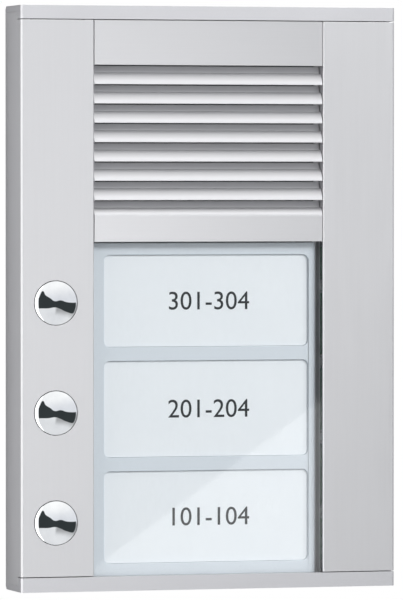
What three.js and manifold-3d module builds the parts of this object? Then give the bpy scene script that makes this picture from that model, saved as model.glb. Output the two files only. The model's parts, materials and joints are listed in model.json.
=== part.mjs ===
// Surface-mounted door intercom panel: two extruded side profiles and two end caps hold a louvred
// speech grille and a window with three name labels. Three sprung push-buttons sit in the left
// profile. The whole front hangs on hooks at the top of a wall plate and is locked from below.
//
// Frame: millimetres, X to the right, Y into the wall, Z up. The origin is the middle of the wall
// plate's back face, so the wall is the plane y = 0 and the front face looks towards -Y.

import * as THREE from 'three';
import { mergeVertices } from 'three/addons/utils/BufferGeometryUtils.js';
import Module from 'manifold-3d';

const wasm = await Module();
wasm.setup();

// ---------------------------------------------------------------- driving dimensions
const WIDTH = 143.6;
const HEIGHT = 215;
const DEPTH = 24; // wall to the face of the side profiles
const STRIP = 27.75; // face width of one side profile
const GAP = 0.3; // clearance between pieces that touch
const SHEET = 2; // wall of the extruded profiles
const REAR_EDGE = -1.5; // the housing's rear edge, just clear of the seal
const EDGE_CHAMFER = 0.66; // outer front edges
const INNER_CHAMFER = 0.4; // front edges along the opening

const CAP_PLATE = 2.3;
const CAP_LIP_DEPTH = 5;
const TOP_LIP = 5;
const BOTTOM_LIP = 5.35;

const PANEL_SETBACK = 0.4; // louvre panel behind the profiles' face
const PANEL_DEPTH = 6.4;
const PANEL_BOTTOM = 20.8;
const SLOT_COUNT = 8;
const SLOT_PITCH = 7.1;
const FIRST_SLOT_TOP = 85.8;
const SLOT_HEIGHT = 2.8;
const SLOT_DEPTH = 4.9;
const BLADE = { radius: 9, tilt: Math.PI / 15 }; // crowned face, still leaning back at its lower edge
const FLOOR_DEPTH = 3.6; // the back of each slot leans forward to its floor
const LAST_BLADE = { radius: 4, height: 3.35 }; // runs out into the plain field

const LABEL_HEIGHTS = [33.6, 35.2, 33.6];
const LABEL_TOP = 15.8;
const LABEL_GAP = 5.45;
const LABEL_HALF_WIDTH = 39.1;
const LABEL_CORNER = 2;

const BUTTON_X = -58.65;
const BUTTON_Z = [-1.5, -41.8, -82.1];
const BUTTON_RADIUS = 7.95;
const BUTTON_PROUD = 0.2; // the cap's rim in front of the face
const BUTTON_DOME = 2.6;
const BUTTON_HOLE = 8.25;
const DOME_RINGS = 4;

const SPEAKER_Z = 61;
const SPEAKER_RADIUS = 25;
const LOCK_Y = -12; // the captive screw under the bottom edge

// ---------------------------------------------------------------- derived places
const HALF_W = WIDTH / 2;
const HALF_H = HEIGHT / 2;
const FACE = -DEPTH;
const OPENING = HALF_W - STRIP; // half width between the two profiles
const SIDE_GAP = 0.15; // the seam beside each piece set between the profiles
const INSERT = OPENING - SIDE_GAP; // half width of what fills it
const CAP_INNER = HALF_H - CAP_PLATE;
const TOP_SEAM = HALF_H - TOP_LIP;
const BOTTOM_SEAM = -HALF_H + BOTTOM_LIP;
const LIP_BACK = FACE + CAP_LIP_DEPTH;
const PANEL_FACE = FACE + PANEL_SETBACK;
const PANEL_BACK = PANEL_FACE + PANEL_DEPTH;
const COVER = { front: -23, back: -20.6, flange: -21.6, flangeReach: 3 };
const FRAME = { front: -20.3, back: -17.8 };
const LABEL = { front: -19.6, back: -19.1 };
const GUIDE = { pad: -18.8, front: -17.5, back: -15.5 };
const LED_BOARD = { front: -15.2, back: -13.8 };
const CHASSIS = { front: -13.5, back: -11.9 };
const MAIN_BOARD = { front: -9.5, back: -7.9 };
const BUTTON_BOARD = { front: -6, back: -4.4 };
const PLATE_FRONT = -2;

// ---------------------------------------------------------------- materials
function finish(color, roughness, metalness = 0, opacity = 1) {
  const see = opacity < 1 ? { transparent: true, opacity } : {};
  return new THREE.MeshStandardMaterial({ color, roughness, metalness, ...see });
}

const looks = {
  anodised: finish(0xd6d7d9, 0.38, 0.9),
  capMetal: finish(0xcfd0d4, 0.42, 0.9),
  chrome: finish(0xf2f4f6, 0.05, 1),
  clear: finish(0xe8f0f6, 0.04, 0, 0.25),
  frame: finish(0xcbd2d9, 0.45),
  label: finish(0xe6ecf2, 0.7),
  diffuser: finish(0xeef1f2, 0.5),
  blackPlastic: finish(0x26272a, 0.55),
  greyPlastic: finish(0x9b9ea3, 0.6),
  rubber: finish(0x1b1c1d, 0.85),
  board: finish(0x1e6b3a, 0.5),
  steel: finish(0xb4b7ba, 0.35, 1),
  galvanised: finish(0xa9adb1, 0.5, 0.9),
  spring: finish(0xc2c5c8, 0.25, 1),
  paper: finish(0x2e2c2a, 0.9),
  magnet: finish(0x3d3e41, 0.6, 0.3),
  gauze: finish(0x55585b, 0.5, 0.8),
  terminal: finish(0x2f8f4e, 0.5),
  can: finish(0x2a2f63, 0.35, 0.4),
  cable: finish(0xa8352f, 0.6),
  ribbon: finish(0xd8d5c6, 0.6),
};

// ---------------------------------------------------------------- solids
function solid(geometry) {
  const bare = geometry.clone();
  bare.deleteAttribute('normal');
  bare.deleteAttribute('uv');
  const merged = mergeVertices(bare, 1e-4);
  const corners = merged.index.array;
  const triVerts = [];
  for (let i = 0; i < corners.length; i += 3) {
    const [a, b, c] = [corners[i], corners[i + 1], corners[i + 2]];
    if (a !== b && b !== c && c !== a) triVerts.push(a, b, c);
  }
  return new wasm.Manifold(
    new wasm.Mesh({
      numProp: 3,
      vertProperties: new Float32Array(merged.attributes.position.array),
      triVerts: new Uint32Array(triVerts),
    }),
  );
}

function geometryOf(body) {
  const mesh = body.getMesh();
  const geometry = new THREE.BufferGeometry();
  geometry.setAttribute('position', new THREE.BufferAttribute(mesh.vertProperties, 3));
  geometry.setIndex(new THREE.BufferAttribute(mesh.triVerts, 1));
  const faceted = geometry.toNonIndexed();
  faceted.computeVertexNormals();
  return faceted;
}

const join = (first, ...others) => others.reduce((sum, next) => sum.add(next), first);
const cut = (body, ...tools) => tools.reduce((rest, tool) => rest.subtract(tool), body);

// a block between two planes on each axis
function block([x0, x1], [y0, y1], [z0, z1]) {
  const box = new THREE.BoxGeometry(x1 - x0, y1 - y0, z1 - z0);
  return solid(box.translate((x0 + x1) / 2, (y0 + y1) / 2, (z0 + z1) / 2));
}

function outline(points) {
  return new THREE.Shape(points.map(([a, b]) => new THREE.Vector2(a, b)));
}

function disc(radius, x = 0, z = 0) {
  return new THREE.Shape().absarc(x, z, radius, 0, 2 * Math.PI);
}

// a rectangle with round corners, by its limits
function roundedRect([x0, x1], [z0, z1], radius) {
  const shape = new THREE.Shape();
  shape.absarc(x1 - radius, z1 - radius, radius, 0, Math.PI / 2);
  shape.absarc(x0 + radius, z1 - radius, radius, Math.PI / 2, Math.PI);
  shape.absarc(x0 + radius, z0 + radius, radius, Math.PI, 1.5 * Math.PI);
  shape.absarc(x1 - radius, z0 + radius, radius, 1.5 * Math.PI, 2 * Math.PI);
  return shape;
}

function extruded(shape, depth, curveSegments) {
  return new THREE.ExtrudeGeometry(shape, { depth, bevelEnabled: false, curveSegments });
}

// a shape drawn in X and Y, run along Z
function alongZ(shape, [z0, z1], curveSegments = 2) {
  return solid(extruded(shape, z1 - z0, curveSegments).translate(0, 0, z0));
}

// a shape drawn in X and Z, run along Y
function alongY(shape, [y0, y1], curveSegments = 2) {
  return solid(extruded(shape, y1 - y0, curveSegments).rotateX(Math.PI / 2).translate(0, y1, 0));
}

// a shape drawn in Y and Z, run along X
function alongX(shape, [x0, x1], curveSegments = 2) {
  const turn = new THREE.Matrix4().set(0, 0, 1, x0, 1, 0, 0, 0, 0, 1, 0, 0, 0, 0, 0, 1);
  return solid(extruded(shape, x1 - x0, curveSegments).applyMatrix4(turn));
}

// [radius, y] points turned about the Y axis, the outer side listed towards +Y
function turned(profile, segments = 20) {
  const points = profile.map(([radius, y]) => new THREE.Vector2(radius, y));
  return solid(new THREE.LatheGeometry(points, segments));
}

// the same about the Z axis: [radius, z] points
function turnedZ(profile, segments = 12) {
  const points = profile.map(([radius, z]) => new THREE.Vector2(radius, z));
  return solid(new THREE.LatheGeometry(points, segments).rotateX(Math.PI / 2));
}

// a round ring about the Y axis
function ring(inner, outer, [y0, y1], segments = 20) {
  return turned([[inner, y0], [outer, y0], [outer, y1], [inner, y1], [inner, y0]], segments);
}

// a plain round rod or hole along Y
function rod(radius, [y0, y1], segments = 12) {
  return turned([[0, y0], [radius, y0], [radius, y1], [0, y1]], segments);
}

// ---------------------------------------------------------------- scene graph
const intercom = new THREE.Group();
intercom.name = 'door_intercom_panel';
const wallBase = new THREE.Group();
const front = new THREE.Group();
intercom.add(wallBase, front);

function place(group, name, body, material, position = [0, 0, 0]) {
  const mesh = new THREE.Mesh(geometryOf(body), material);
  mesh.name = name;
  mesh.position.set(...position);
  group.add(mesh);
}

// ---------------------------------------------------------------- wall base
const BASE = { halfWidth: 66, bottom: -103.5, top: 101, corner: 4 };
const CABLE_ENTRY = { halfWidth: 20, bottom: -62, top: -28, corner: 3 };
const HOOK = { inner: 22, outer: 42, front: -4.5, back: -3, web: 99.5, tip: 104.5 };
const WALL_SCREW = { x: 42, upper: 80, lower: -84, long: 5, round: 2.25, seat: -2.5, rim: 3 };
const LUG = { halfWidth: 9, front: -15.5, bottom: -103, top: -101, slot: 2.2 };
const GASKET = { front: -1.2, halfWidth: 70.6, halfHeight: 105.2, corner: 3 };
const GROMMET = { front: -3.6, lip: 3, lipCorner: 4, wall: 1.8, holeCorner: 2 };

// wall-screw slots, level at the top and upright at the bottom, or the raised seats around them
function wallScrewShapes(margin) {
  const { x: middle, upper, lower, long, round } = WALL_SCREW;
  const [a, b, radius] = [long + margin, round + margin, round + margin - 0.01];
  return [-middle, middle].flatMap((x) => [
    roundedRect([x - a, x + a], [upper - b, upper + b], radius),
    roundedRect([x - b, x + b], [lower - a, lower + a], radius),
  ]);
}

function wallBasePlate() {
  const sheet = roundedRect([-BASE.halfWidth, BASE.halfWidth], [BASE.bottom, BASE.top], BASE.corner);
  const entry = roundedRect(
    [-CABLE_ENTRY.halfWidth, CABLE_ENTRY.halfWidth],
    [CABLE_ENTRY.bottom, CABLE_ENTRY.top],
    CABLE_ENTRY.corner,
  );
  const hooks = [-1, 1].flatMap((side) => {
    const x = [side * HOOK.inner, side * HOOK.outer].sort((a, b) => a - b);
    return [
      block(x, [HOOK.front, 0], [HOOK.web, BASE.top]),
      block(x, [HOOK.front, HOOK.back], [HOOK.web, HOOK.tip]),
    ];
  });
  const seats = wallScrewShapes(WALL_SCREW.rim).map((shape) => alongY(shape, [WALL_SCREW.seat, -1]));
  const lug = block([-LUG.halfWidth, LUG.halfWidth], [LUG.front, 0], [LUG.bottom, LUG.top]);
  const screwPath = new THREE.Shape();
  screwPath.moveTo(LUG.slot, LUG.front - 1);
  screwPath.absarc(0, LOCK_Y, LUG.slot, 0, Math.PI);
  screwPath.lineTo(-LUG.slot, LUG.front - 1);
  return cut(
    join(alongY(sheet, [PLATE_FRONT, 0]), ...seats, ...hooks, lug),
    alongY(entry, [PLATE_FRONT - 1, 1]),
    alongZ(screwPath, [LUG.bottom - 1, LUG.top + 1], 4),
    ...wallScrewShapes(0).map((shape) => alongY(shape, [WALL_SCREW.seat - 1, 1])),
  );
}

function perimeterGasket() {
  const { front: y0, halfWidth, halfHeight, corner } = GASKET;
  const outer = roundedRect([-halfWidth, halfWidth], [-halfHeight, halfHeight], corner);
  const inner = roundedRect(
    [-BASE.halfWidth - GAP, BASE.halfWidth + GAP],
    [BASE.bottom - GAP, BASE.top + GAP],
    BASE.corner,
  );
  return cut(alongY(outer, [y0, 0]), alongY(inner, [y0 - 1, 1]));
}

function cableGrommet() {
  const limits = (grow) => [
    [-CABLE_ENTRY.halfWidth - grow, CABLE_ENTRY.halfWidth + grow],
    [CABLE_ENTRY.bottom - grow, CABLE_ENTRY.top + grow],
  ];
  const lip = roundedRect(...limits(GROMMET.lip), GROMMET.lipCorner);
  const web = roundedRect(...limits(-GAP), CABLE_ENTRY.corner);
  const hole = roundedRect(...limits(-GROMMET.wall), GROMMET.holeCorner);
  return cut(
    join(alongY(lip, [GROMMET.front, PLATE_FRONT - GAP]), alongY(web, [GROMMET.front, 0])),
    alongY(hole, [GROMMET.front - 1, 1]),
  );
}

place(wallBase, 'wall_base_plate', wallBasePlate(), looks.galvanised);
place(wallBase, 'perimeter_gasket', perimeterGasket(), looks.rubber);
place(wallBase, 'cable_grommet', cableGrommet(), looks.rubber);

// ---------------------------------------------------------------- side profiles
const INNER_WALL_BACK = -10.4;
const CARRIER_RIB = { front: -19.9, back: -18.7, outer: 0.6, inner: 1.45 };
const CHASSIS_RIBS = [[-15, CHASSIS.front - GAP], [CHASSIS.back + GAP, INNER_WALL_BACK]];
const CHASSIS_RIB_REACH = 1.5;
const SCREW_PORT = { x: HALF_W - 4.9, y: -7, outer: 3, hole: 1.8 };

// the left profile's section; side = 1 mirrors it for the right one
function profileSection(side) {
  const [outside, inside] = [HALF_W, OPENING];
  const [outerWall, innerWall] = [outside - SHEET, inside + SHEET];
  const rib = CARRIER_RIB;
  const points = [
    [outside, REAR_EDGE],
    [outside, FACE + EDGE_CHAMFER],
    [outside - EDGE_CHAMFER, FACE],
    [inside + INNER_CHAMFER, FACE],
    [inside, FACE + INNER_CHAMFER],
  ];
  for (const [ribFront, ribBack] of CHASSIS_RIBS) {
    points.push([inside, ribFront], [inside - CHASSIS_RIB_REACH, ribFront]);
    points.push([inside - CHASSIS_RIB_REACH, ribBack], [inside, ribBack]);
  }
  points.pop();
  points.push([innerWall, INNER_WALL_BACK]);
  points.push([innerWall, rib.back], [innerWall + rib.inner, rib.back]);
  points.push([innerWall + rib.inner, rib.front], [innerWall, rib.front]);
  points.push([innerWall, FACE + SHEET], [outerWall, FACE + SHEET]);
  points.push([outerWall, rib.front], [outerWall - rib.outer, rib.front]);
  points.push([outerWall - rib.outer, rib.back], [outerWall, rib.back]);
  points.push([outerWall, REAR_EDGE]);
  return outline(points.map(([x, y]) => [side * x, y]));
}

function sideProfile(side) {
  const length = [-CAP_INNER + GAP, CAP_INNER - GAP];
  const port = disc(SCREW_PORT.outer, side * SCREW_PORT.x, SCREW_PORT.y);
  const portHole = disc(SCREW_PORT.hole, side * SCREW_PORT.x, SCREW_PORT.y);
  const edge = [side * (OPENING - 5), side * (HALF_W + 1)].sort((a, b) => a - b);
  const lipRoom = [FACE - 1, LIP_BACK + GAP];
  return cut(
    join(alongZ(profileSection(side), length), alongZ(port, length, 6)),
    alongZ(portHole, [-HALF_H, HALF_H], 6),
    block(edge, lipRoom, [TOP_SEAM - GAP, HALF_H]),
    block(edge, lipRoom, [-HALF_H, BOTTOM_SEAM + GAP]),
  );
}

function leftProfile() {
  const holes = BUTTON_Z.map((z) => alongY(disc(BUTTON_HOLE, BUTTON_X, z), [FACE - 1, FACE + 3], 14));
  return cut(sideProfile(-1), ...holes);
}

place(front, 'left_profile', leftProfile(), looks.anodised);
place(front, 'right_profile', sideProfile(1), looks.anodised);

// ---------------------------------------------------------------- end caps
const CAP_REAR_CHAMFER = 1.2;
const HOOK_LIP = { halfWidth: 44, front: -2.7, reach: 1.5 };
const COVER_GROOVE = 2.25; // the window's lower flange stands this deep in the bottom cap
const DRAIN = { x: 30, halfWidth: 4, front: -17, back: -15.4 };
const SCREW_HEAD = { radius: 2.8, height: 1.6, shank: 1.5 };

// the caps' plan view, with the same front edges as the profiles
function capPlan(back) {
  const c = EDGE_CHAMFER;
  return outline([
    [-HALF_W, back],
    [-HALF_W, FACE + c],
    [-HALF_W + c, FACE],
    [HALF_W - c, FACE],
    [HALF_W, FACE + c],
    [HALF_W, back],
  ]);
}

// a cap drawn for the top edge; the caller mirrors it for the bottom edge
function capBody(lip) {
  const c = CAP_REAR_CHAMFER;
  const rearEdge = outline([
    [REAR_EDGE - c, HALF_H + 0.01],
    [REAR_EDGE + 1, HALF_H - c - 1],
    [REAR_EDGE + 1, HALF_H + 1],
    [REAR_EDGE - c, HALF_H + 1],
  ]);
  return cut(
    join(
      alongZ(capPlan(REAR_EDGE), [CAP_INNER, HALF_H]),
      alongZ(capPlan(LIP_BACK), [HALF_H - lip, HALF_H]),
    ),
    alongX(rearEdge, [-HALF_W - 1, HALF_W + 1]),
  );
}

// the clearance hole and countersink of a screw that enters at the outer face
function screwSeat(x, y) {
  const clear = SCREW_HEAD.shank + GAP;
  const head = SCREW_HEAD.radius + GAP;
  const seat = turnedZ([
    [0, CAP_INNER - 4],
    [clear, CAP_INNER - 4],
    [clear, HALF_H - SCREW_HEAD.height - GAP],
    [head, HALF_H],
    [head, HALF_H + 1],
    [0, HALF_H + 1],
  ]);
  return seat.translate([x, y, 0]);
}

const cornerSeats = () => [-1, 1].map((side) => screwSeat(side * SCREW_PORT.x, SCREW_PORT.y));

function topCap() {
  const hookLip = block(
    [-HOOK_LIP.halfWidth, HOOK_LIP.halfWidth],
    [HOOK_LIP.front, REAR_EDGE],
    [CAP_INNER - HOOK_LIP.reach, CAP_INNER + 0.5],
  );
  return cut(join(capBody(TOP_LIP), hookLip), ...cornerSeats());
}

function bottomCap() {
  const coverRoom = block(
    [-OPENING, OPENING],
    [COVER.flange - GAP, COVER.back + GAP],
    [HALF_H - BOTTOM_LIP - 1, HALF_H - BOTTOM_LIP + COVER_GROOVE],
  );
  const drains = [-DRAIN.x, DRAIN.x].map((x) => {
    const width = [x - DRAIN.halfWidth, x + DRAIN.halfWidth];
    return block(width, [DRAIN.front, DRAIN.back], [CAP_INNER - 1, HALF_H + 1]);
  });
  const upright = cut(capBody(BOTTOM_LIP), ...cornerSeats(), screwSeat(0, LOCK_Y), coverRoom, ...drains);
  return upright.mirror([0, 0, 1]);
}

// a countersunk screw with a hexagon socket, its head up and flush with z = 0
function countersunkScrew(length) {
  const { radius, height, shank } = SCREW_HEAD;
  const body = turnedZ([
    [0, -length],
    [shank - 0.4, -length],
    [shank, -length + 1],
    [shank, -height],
    [radius, 0],
    [0, 0],
  ]);
  const socket = turnedZ([[0, -1.1], [1.2, -1.1], [1.2, 1], [0, 1]], 6);
  return cut(body, socket);
}

place(front, 'top_cap', topCap(), looks.capMetal);
place(front, 'bottom_cap', bottomCap(), looks.capMetal);

const HEAD_SINK = 0.1;
const CAP_SCREW_LENGTH = 10;
[[-1, 1], [1, 1], [-1, -1], [1, -1]].forEach(([side, end], i) => {
  const screw = countersunkScrew(CAP_SCREW_LENGTH);
  const at = [side * SCREW_PORT.x, SCREW_PORT.y, end * (HALF_H - HEAD_SINK)];
  place(front, `cap_screw_${i + 1}`, end > 0 ? screw : screw.mirror([0, 0, 1]), looks.steel, at);
});

// ---------------------------------------------------------------- lock under the bottom edge
const LOCK_NUT = { half: 2.9, bottom: LUG.top + GAP, height: 2.5, thread: 1.8 };
const LOCK_SCREW_LENGTH = 9.8;

function lockNut() {
  const { half, bottom, height, thread } = LOCK_NUT;
  const [z0, z1] = [bottom - 1, bottom + height + 1];
  const hole = turnedZ([[0, z0], [thread, z0], [thread, z1], [0, z1]]);
  return cut(block([-half, half], [-half, half], [bottom, bottom + height]), hole);
}

place(
  front,
  'lock_screw',
  countersunkScrew(LOCK_SCREW_LENGTH).mirror([0, 0, 1]),
  looks.steel,
  [0, LOCK_Y, -HALF_H + HEAD_SINK],
);
place(front, 'lock_nut', lockNut(), looks.steel, [0, LOCK_Y, 0]);

// ---------------------------------------------------------------- louvre panel
const PANEL_FOOT = { back: COVER.flange - GAP, top: PANEL_BOTTOM + 3 };
const PANEL_BOSS = { x: 36, z: 27, radius: 3, hole: 1.8 };
const PANEL_HOLLOW = { bottom: 89.5, top: 99, skin: 2.5 };
const SOUND_SLOT = { halfWidth: 42.3, height: 0.6, front: 4.5 };
const GRILLE_MESH = { halfWidth: 43, bottom: 31.5, top: 88.5, thick: 0.4 };

function louvreSection() {
  const section = new THREE.Shape();
  section.moveTo(PANEL_FACE, TOP_SEAM - GAP);
  for (let i = 0; i < SLOT_COUNT; i += 1) {
    const top = FIRST_SLOT_TOP - i * SLOT_PITCH;
    const floor = top - SLOT_HEIGHT;
    section.lineTo(PANEL_FACE, top);
    section.lineTo(PANEL_FACE + SLOT_DEPTH, top);
    section.lineTo(PANEL_FACE + FLOOR_DEPTH, floor);
    const last = i === SLOT_COUNT - 1;
    const [radius, tilt] = last ? [LAST_BLADE.radius, 0] : [BLADE.radius, BLADE.tilt];
    const edge = last ? floor - LAST_BLADE.height : top - SLOT_PITCH;
    const centre = edge - radius * Math.sin(tilt);
    const start = Math.PI - Math.asin((floor - centre) / radius);
    section.absarc(PANEL_FACE + radius * Math.cos(tilt), centre, radius, start, Math.PI - tilt);
  }
  section.lineTo(PANEL_FACE, PANEL_BOTTOM);
  section.lineTo(PANEL_FOOT.back, PANEL_BOTTOM);
  section.lineTo(PANEL_FOOT.back, PANEL_FOOT.top);
  section.lineTo(PANEL_BACK, PANEL_FOOT.top);
  // hollow behind the plain band above the louvres, then the tongue behind the cap's lip
  const { bottom, top: hollowTop, skin } = PANEL_HOLLOW;
  section.lineTo(PANEL_BACK, bottom);
  section.lineTo(PANEL_FACE + skin, bottom);
  section.lineTo(PANEL_FACE + skin, hollowTop);
  section.lineTo(PANEL_BACK, hollowTop);
  section.lineTo(PANEL_BACK, CAP_INNER - GAP);
  section.lineTo(LIP_BACK + GAP, CAP_INNER - GAP);
  section.lineTo(LIP_BACK + GAP, TOP_SEAM - GAP);
  return section;
}

function louvrePanel() {
  const { halfWidth, height, front: slotFront } = SOUND_SLOT;
  const slots = [];
  for (let i = 0; i < SLOT_COUNT; i += 1) {
    const top = FIRST_SLOT_TOP - i * SLOT_PITCH;
    slots.push(block([-halfWidth, halfWidth], [PANEL_FACE + slotFront, PANEL_BACK + 1], [top - height, top]));
  }
  const bosses = [-1, 1].map((side) => {
    const at = [side * PANEL_BOSS.x, 0, PANEL_BOSS.z];
    return rod(PANEL_BOSS.radius, [PANEL_BACK - 1, CHASSIS.front - GAP]).translate(at);
  });
  const holes = [-1, 1].map((side) => {
    const at = [side * PANEL_BOSS.x, 0, PANEL_BOSS.z];
    return rod(PANEL_BOSS.hole, [PANEL_BACK - 2, 0]).translate(at);
  });
  const body = alongX(louvreSection(), [-INSERT, INSERT], 3);
  return cut(join(body, ...bosses), ...slots, ...holes);
}

function grilleMesh() {
  const { halfWidth, bottom, top, thick } = GRILLE_MESH;
  return block([-halfWidth, halfWidth], [PANEL_BACK + GAP, PANEL_BACK + GAP + thick], [bottom, top]);
}

place(front, 'louvre_panel', louvrePanel(), looks.anodised);
place(front, 'grille_mesh', grilleMesh(), looks.gauze);

// ---------------------------------------------------------------- window, labels and backlight
const WINDOW_BOTTOM = BOTTOM_SEAM + GAP;
const FRAME_EDGE = { bottom: -101.5, top: 20.4, halfWidth: 43.4 };
const GUIDE_PLATE = { halfWidth: 40.5, bottom: -99.5, top: 19 };
const LED_SHEET = { halfWidth: 42.2, bottom: -98, top: 18.5 };
const LED = { inner: 40.8, outer: 42, front: -16.9, first: 4, pitch: 28, halfHeight: 1.5 };
const PAD_INSET = 0.5;

function labelOpenings(inset, corner) {
  let top = LABEL_TOP;
  return LABEL_HEIGHTS.map((height) => {
    const x = LABEL_HALF_WIDTH - inset;
    const shape = roundedRect([-x, x], [top - height + inset, top - inset], corner);
    top -= height + LABEL_GAP;
    return shape;
  });
}

function labelCover() {
  const [top, bottom] = [PANEL_BOTTOM - GAP, WINDOW_BOTTOM];
  const reach = [bottom - COVER_GROOVE + GAP, top + COVER.flangeReach];
  return join(
    block([-INSERT, INSERT], [COVER.front, COVER.back], [bottom, top]),
    block([-INSERT, INSERT], [COVER.flange, COVER.back], reach),
  );
}

function labelFrame() {
  const width = [-FRAME_EDGE.halfWidth, FRAME_EDGE.halfWidth];
  const plate = block(width, [FRAME.front, FRAME.back], [FRAME_EDGE.bottom, FRAME_EDGE.top]);
  const openings = labelOpenings(0, LABEL_CORNER);
  return cut(plate, ...openings.map((shape) => alongY(shape, [FRAME.front - 1, FRAME.back + 1])));
}

function lightGuide() {
  const { halfWidth, bottom, top } = GUIDE_PLATE;
  const plate = block([-halfWidth, halfWidth], [GUIDE.front, GUIDE.back], [bottom, top]);
  const pads = labelOpenings(PAD_INSET, LABEL_CORNER - PAD_INSET);
  return join(plate, ...pads.map((shape) => alongY(shape, [GUIDE.pad, GUIDE.front + 1])));
}

function ledBoard() {
  const { halfWidth, bottom, top } = LED_SHEET;
  const board = block([-halfWidth, halfWidth], [LED_BOARD.front, LED_BOARD.back], [bottom, top]);
  const leds = [-1, 1].flatMap((side) =>
    [0, 1, 2, 3].map((i) => {
      const x = [side * LED.inner, side * LED.outer].sort((a, b) => a - b);
      const z = LED.first - i * LED.pitch;
      return block(x, [LED.front, LED_BOARD.front + 0.5], [z - LED.halfHeight, z + LED.halfHeight]);
    }),
  );
  return join(board, ...leds);
}

place(front, 'label_cover', labelCover(), looks.clear);
place(front, 'label_frame', labelFrame(), looks.frame);
labelOpenings(GAP, LABEL_CORNER - GAP).forEach((shape, i) => {
  place(front, `name_label_${i + 1}`, alongY(shape, [LABEL.front, LABEL.back]), looks.label);
});
place(front, 'light_guide', lightGuide(), looks.diffuser);
place(front, 'led_board', ledBoard(), looks.board);

// ---------------------------------------------------------------- inner chassis
const CHASSIS_END = 101.5;
const CHASSIS_WINDOWS = [[-30, -6], [-72, -48]]; // bottom and top of each, below the speaker
const CHASSIS_WINDOW_HALF_WIDTH = 22;
const LUG_NOTCH = { halfWidth: LUG.halfWidth + 1, top: -97.5 };
const SPEAKER_SEAT = 2.7; // the speaker's rim rests on this much of the chassis
const POST = { radius: 2.6, hole: 1.3 };
const STANDOFFS = [[-36, 12], [36, 12], [-36, -92], [36, -92]];
const MICROPHONE = { x: 33, z: 35.2, boot: 4.8, bore: 3.3, capsule: 3 };

function innerChassis() {
  const y = [CHASSIS.front, CHASSIS.back];
  const through = [CHASSIS.front - 1, CHASSIS.back + 3];
  const hole = (radius, x, z, segments) => rod(radius, through, segments).translate([x, 0, z]);
  const posts = STANDOFFS.map(([x, z]) =>
    rod(POST.radius, [CHASSIS.back - 0.5, MAIN_BOARD.front - GAP]).translate([x, 0, z]),
  );
  const windows = CHASSIS_WINDOWS.map((z) =>
    block([-CHASSIS_WINDOW_HALF_WIDTH, CHASSIS_WINDOW_HALF_WIDTH], through, z),
  );
  const notch = [-LUG_NOTCH.halfWidth, LUG_NOTCH.halfWidth];
  return cut(
    join(block([-INSERT, INSERT], y, [-CHASSIS_END, CHASSIS_END]), ...posts),
    hole(SPEAKER_RADIUS - SPEAKER_SEAT, 0, SPEAKER_Z, 28),
    hole(MICROPHONE.boot + GAP, MICROPHONE.x, MICROPHONE.z, 14),
    ...[-1, 1].map((side) => hole(PANEL_BOSS.hole, side * PANEL_BOSS.x, PANEL_BOSS.z)),
    ...STANDOFFS.map(([x, z]) => hole(POST.hole, x, z, 8)),
    block(notch, through, [-CHASSIS_END - 1, LUG_NOTCH.top]),
    ...windows,
  );
}

// a pan-head screw along Y: the head's seat is y = 0, the shank points to -Y
function panScrew(shank, head, length, segments = 10) {
  const body = turned(
    [[0, -length], [shank, -length], [shank, 0], [head, 0], [head, 1], [head - 0.5, 1.4], [0, 1.4]],
    segments,
  );
  const slot = block([-head - 1, head + 1], [0.9, 2], [-0.3, 0.3]);
  return cut(body, slot);
}

place(front, 'inner_chassis', innerChassis(), looks.greyPlastic);
[-1, 1].forEach((side, i) => {
  const at = [side * PANEL_BOSS.x, CHASSIS.back + GAP, PANEL_BOSS.z];
  place(front, `panel_screw_${i + 1}`, panScrew(1.5, 2.8, 5.5), looks.steel, at);
});

// ---------------------------------------------------------------- loudspeaker and microphone
const speakerAt = [0, 0, SPEAKER_Z];

function speakerBasket() {
  return turned(
    [[21, -14.9], [25, -14.9], [25, -13.9], [22, -13.9], [13, -8.4], [6, -8.4], [6, -9.4],
      [12.4, -9.4], [21, -14.9]],
    28,
  );
}

// dust cap, cone and voice coil former in one turned shell
function speakerCone() {
  return turned(
    [[0, -12.6], [2.6, -12.3], [4.6, -11.4], [18.9, -14.3], [18.9, -13.9], [5.4, -11],
      [5.4, -7.4], [4.8, -7.4], [4.8, -10.9], [2.6, -11.8], [0, -12.1]],
    20,
  );
}

function speakerMagnet() {
  return turned(
    [[0, -8.1], [4.4, -8.1], [4.4, -5.6], [5.8, -5.6], [5.8, -8.1], [10.2, -8.1], [11, -7.6],
      [11, -4.6], [10.4, -4.2], [0, -4.2]],
    20,
  );
}

function speakerLead() {
  const route = new THREE.CatmullRomCurve3(
    [[12, -6.4, 6], [12.3, -6.2, 18], [15, -5.6, 30], [14.5, -6, 42], [9.6, -7.2, 51.8]].map(
      ([x, y, z]) => new THREE.Vector3(x, y, z),
    ),
  );
  const section = disc(0.75);
  const run = { extrudePath: route, steps: 16, curveSegments: 4, bevelEnabled: false };
  return solid(new THREE.ExtrudeGeometry(section, run));
}

place(front, 'speaker_gasket', ring(22.5, 25, [-16.2, -15.2], 28), looks.rubber, speakerAt);
place(front, 'speaker_basket', speakerBasket(), looks.galvanised, speakerAt);
place(front, 'speaker_cone', speakerCone(), looks.paper, speakerAt);
place(front, 'speaker_magnet', speakerMagnet(), looks.magnet, speakerAt);
place(front, 'speaker_lead', speakerLead(), looks.cable);

function microphoneBoot() {
  const { boot, bore } = MICROPHONE;
  return turned(
    [[bore, -16.2], [boot, -16.2], [boot, -11.2], [1, -11.2], [1, -12.8], [bore, -12.8], [bore, -16.2]],
    14,
  );
}

const microphoneAt = [MICROPHONE.x, 0, MICROPHONE.z];
place(front, 'microphone_boot', microphoneBoot(), looks.rubber, microphoneAt);
place(front, 'microphone_capsule', rod(MICROPHONE.capsule, [-15.9, -13.2]), looks.steel, microphoneAt);

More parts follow.
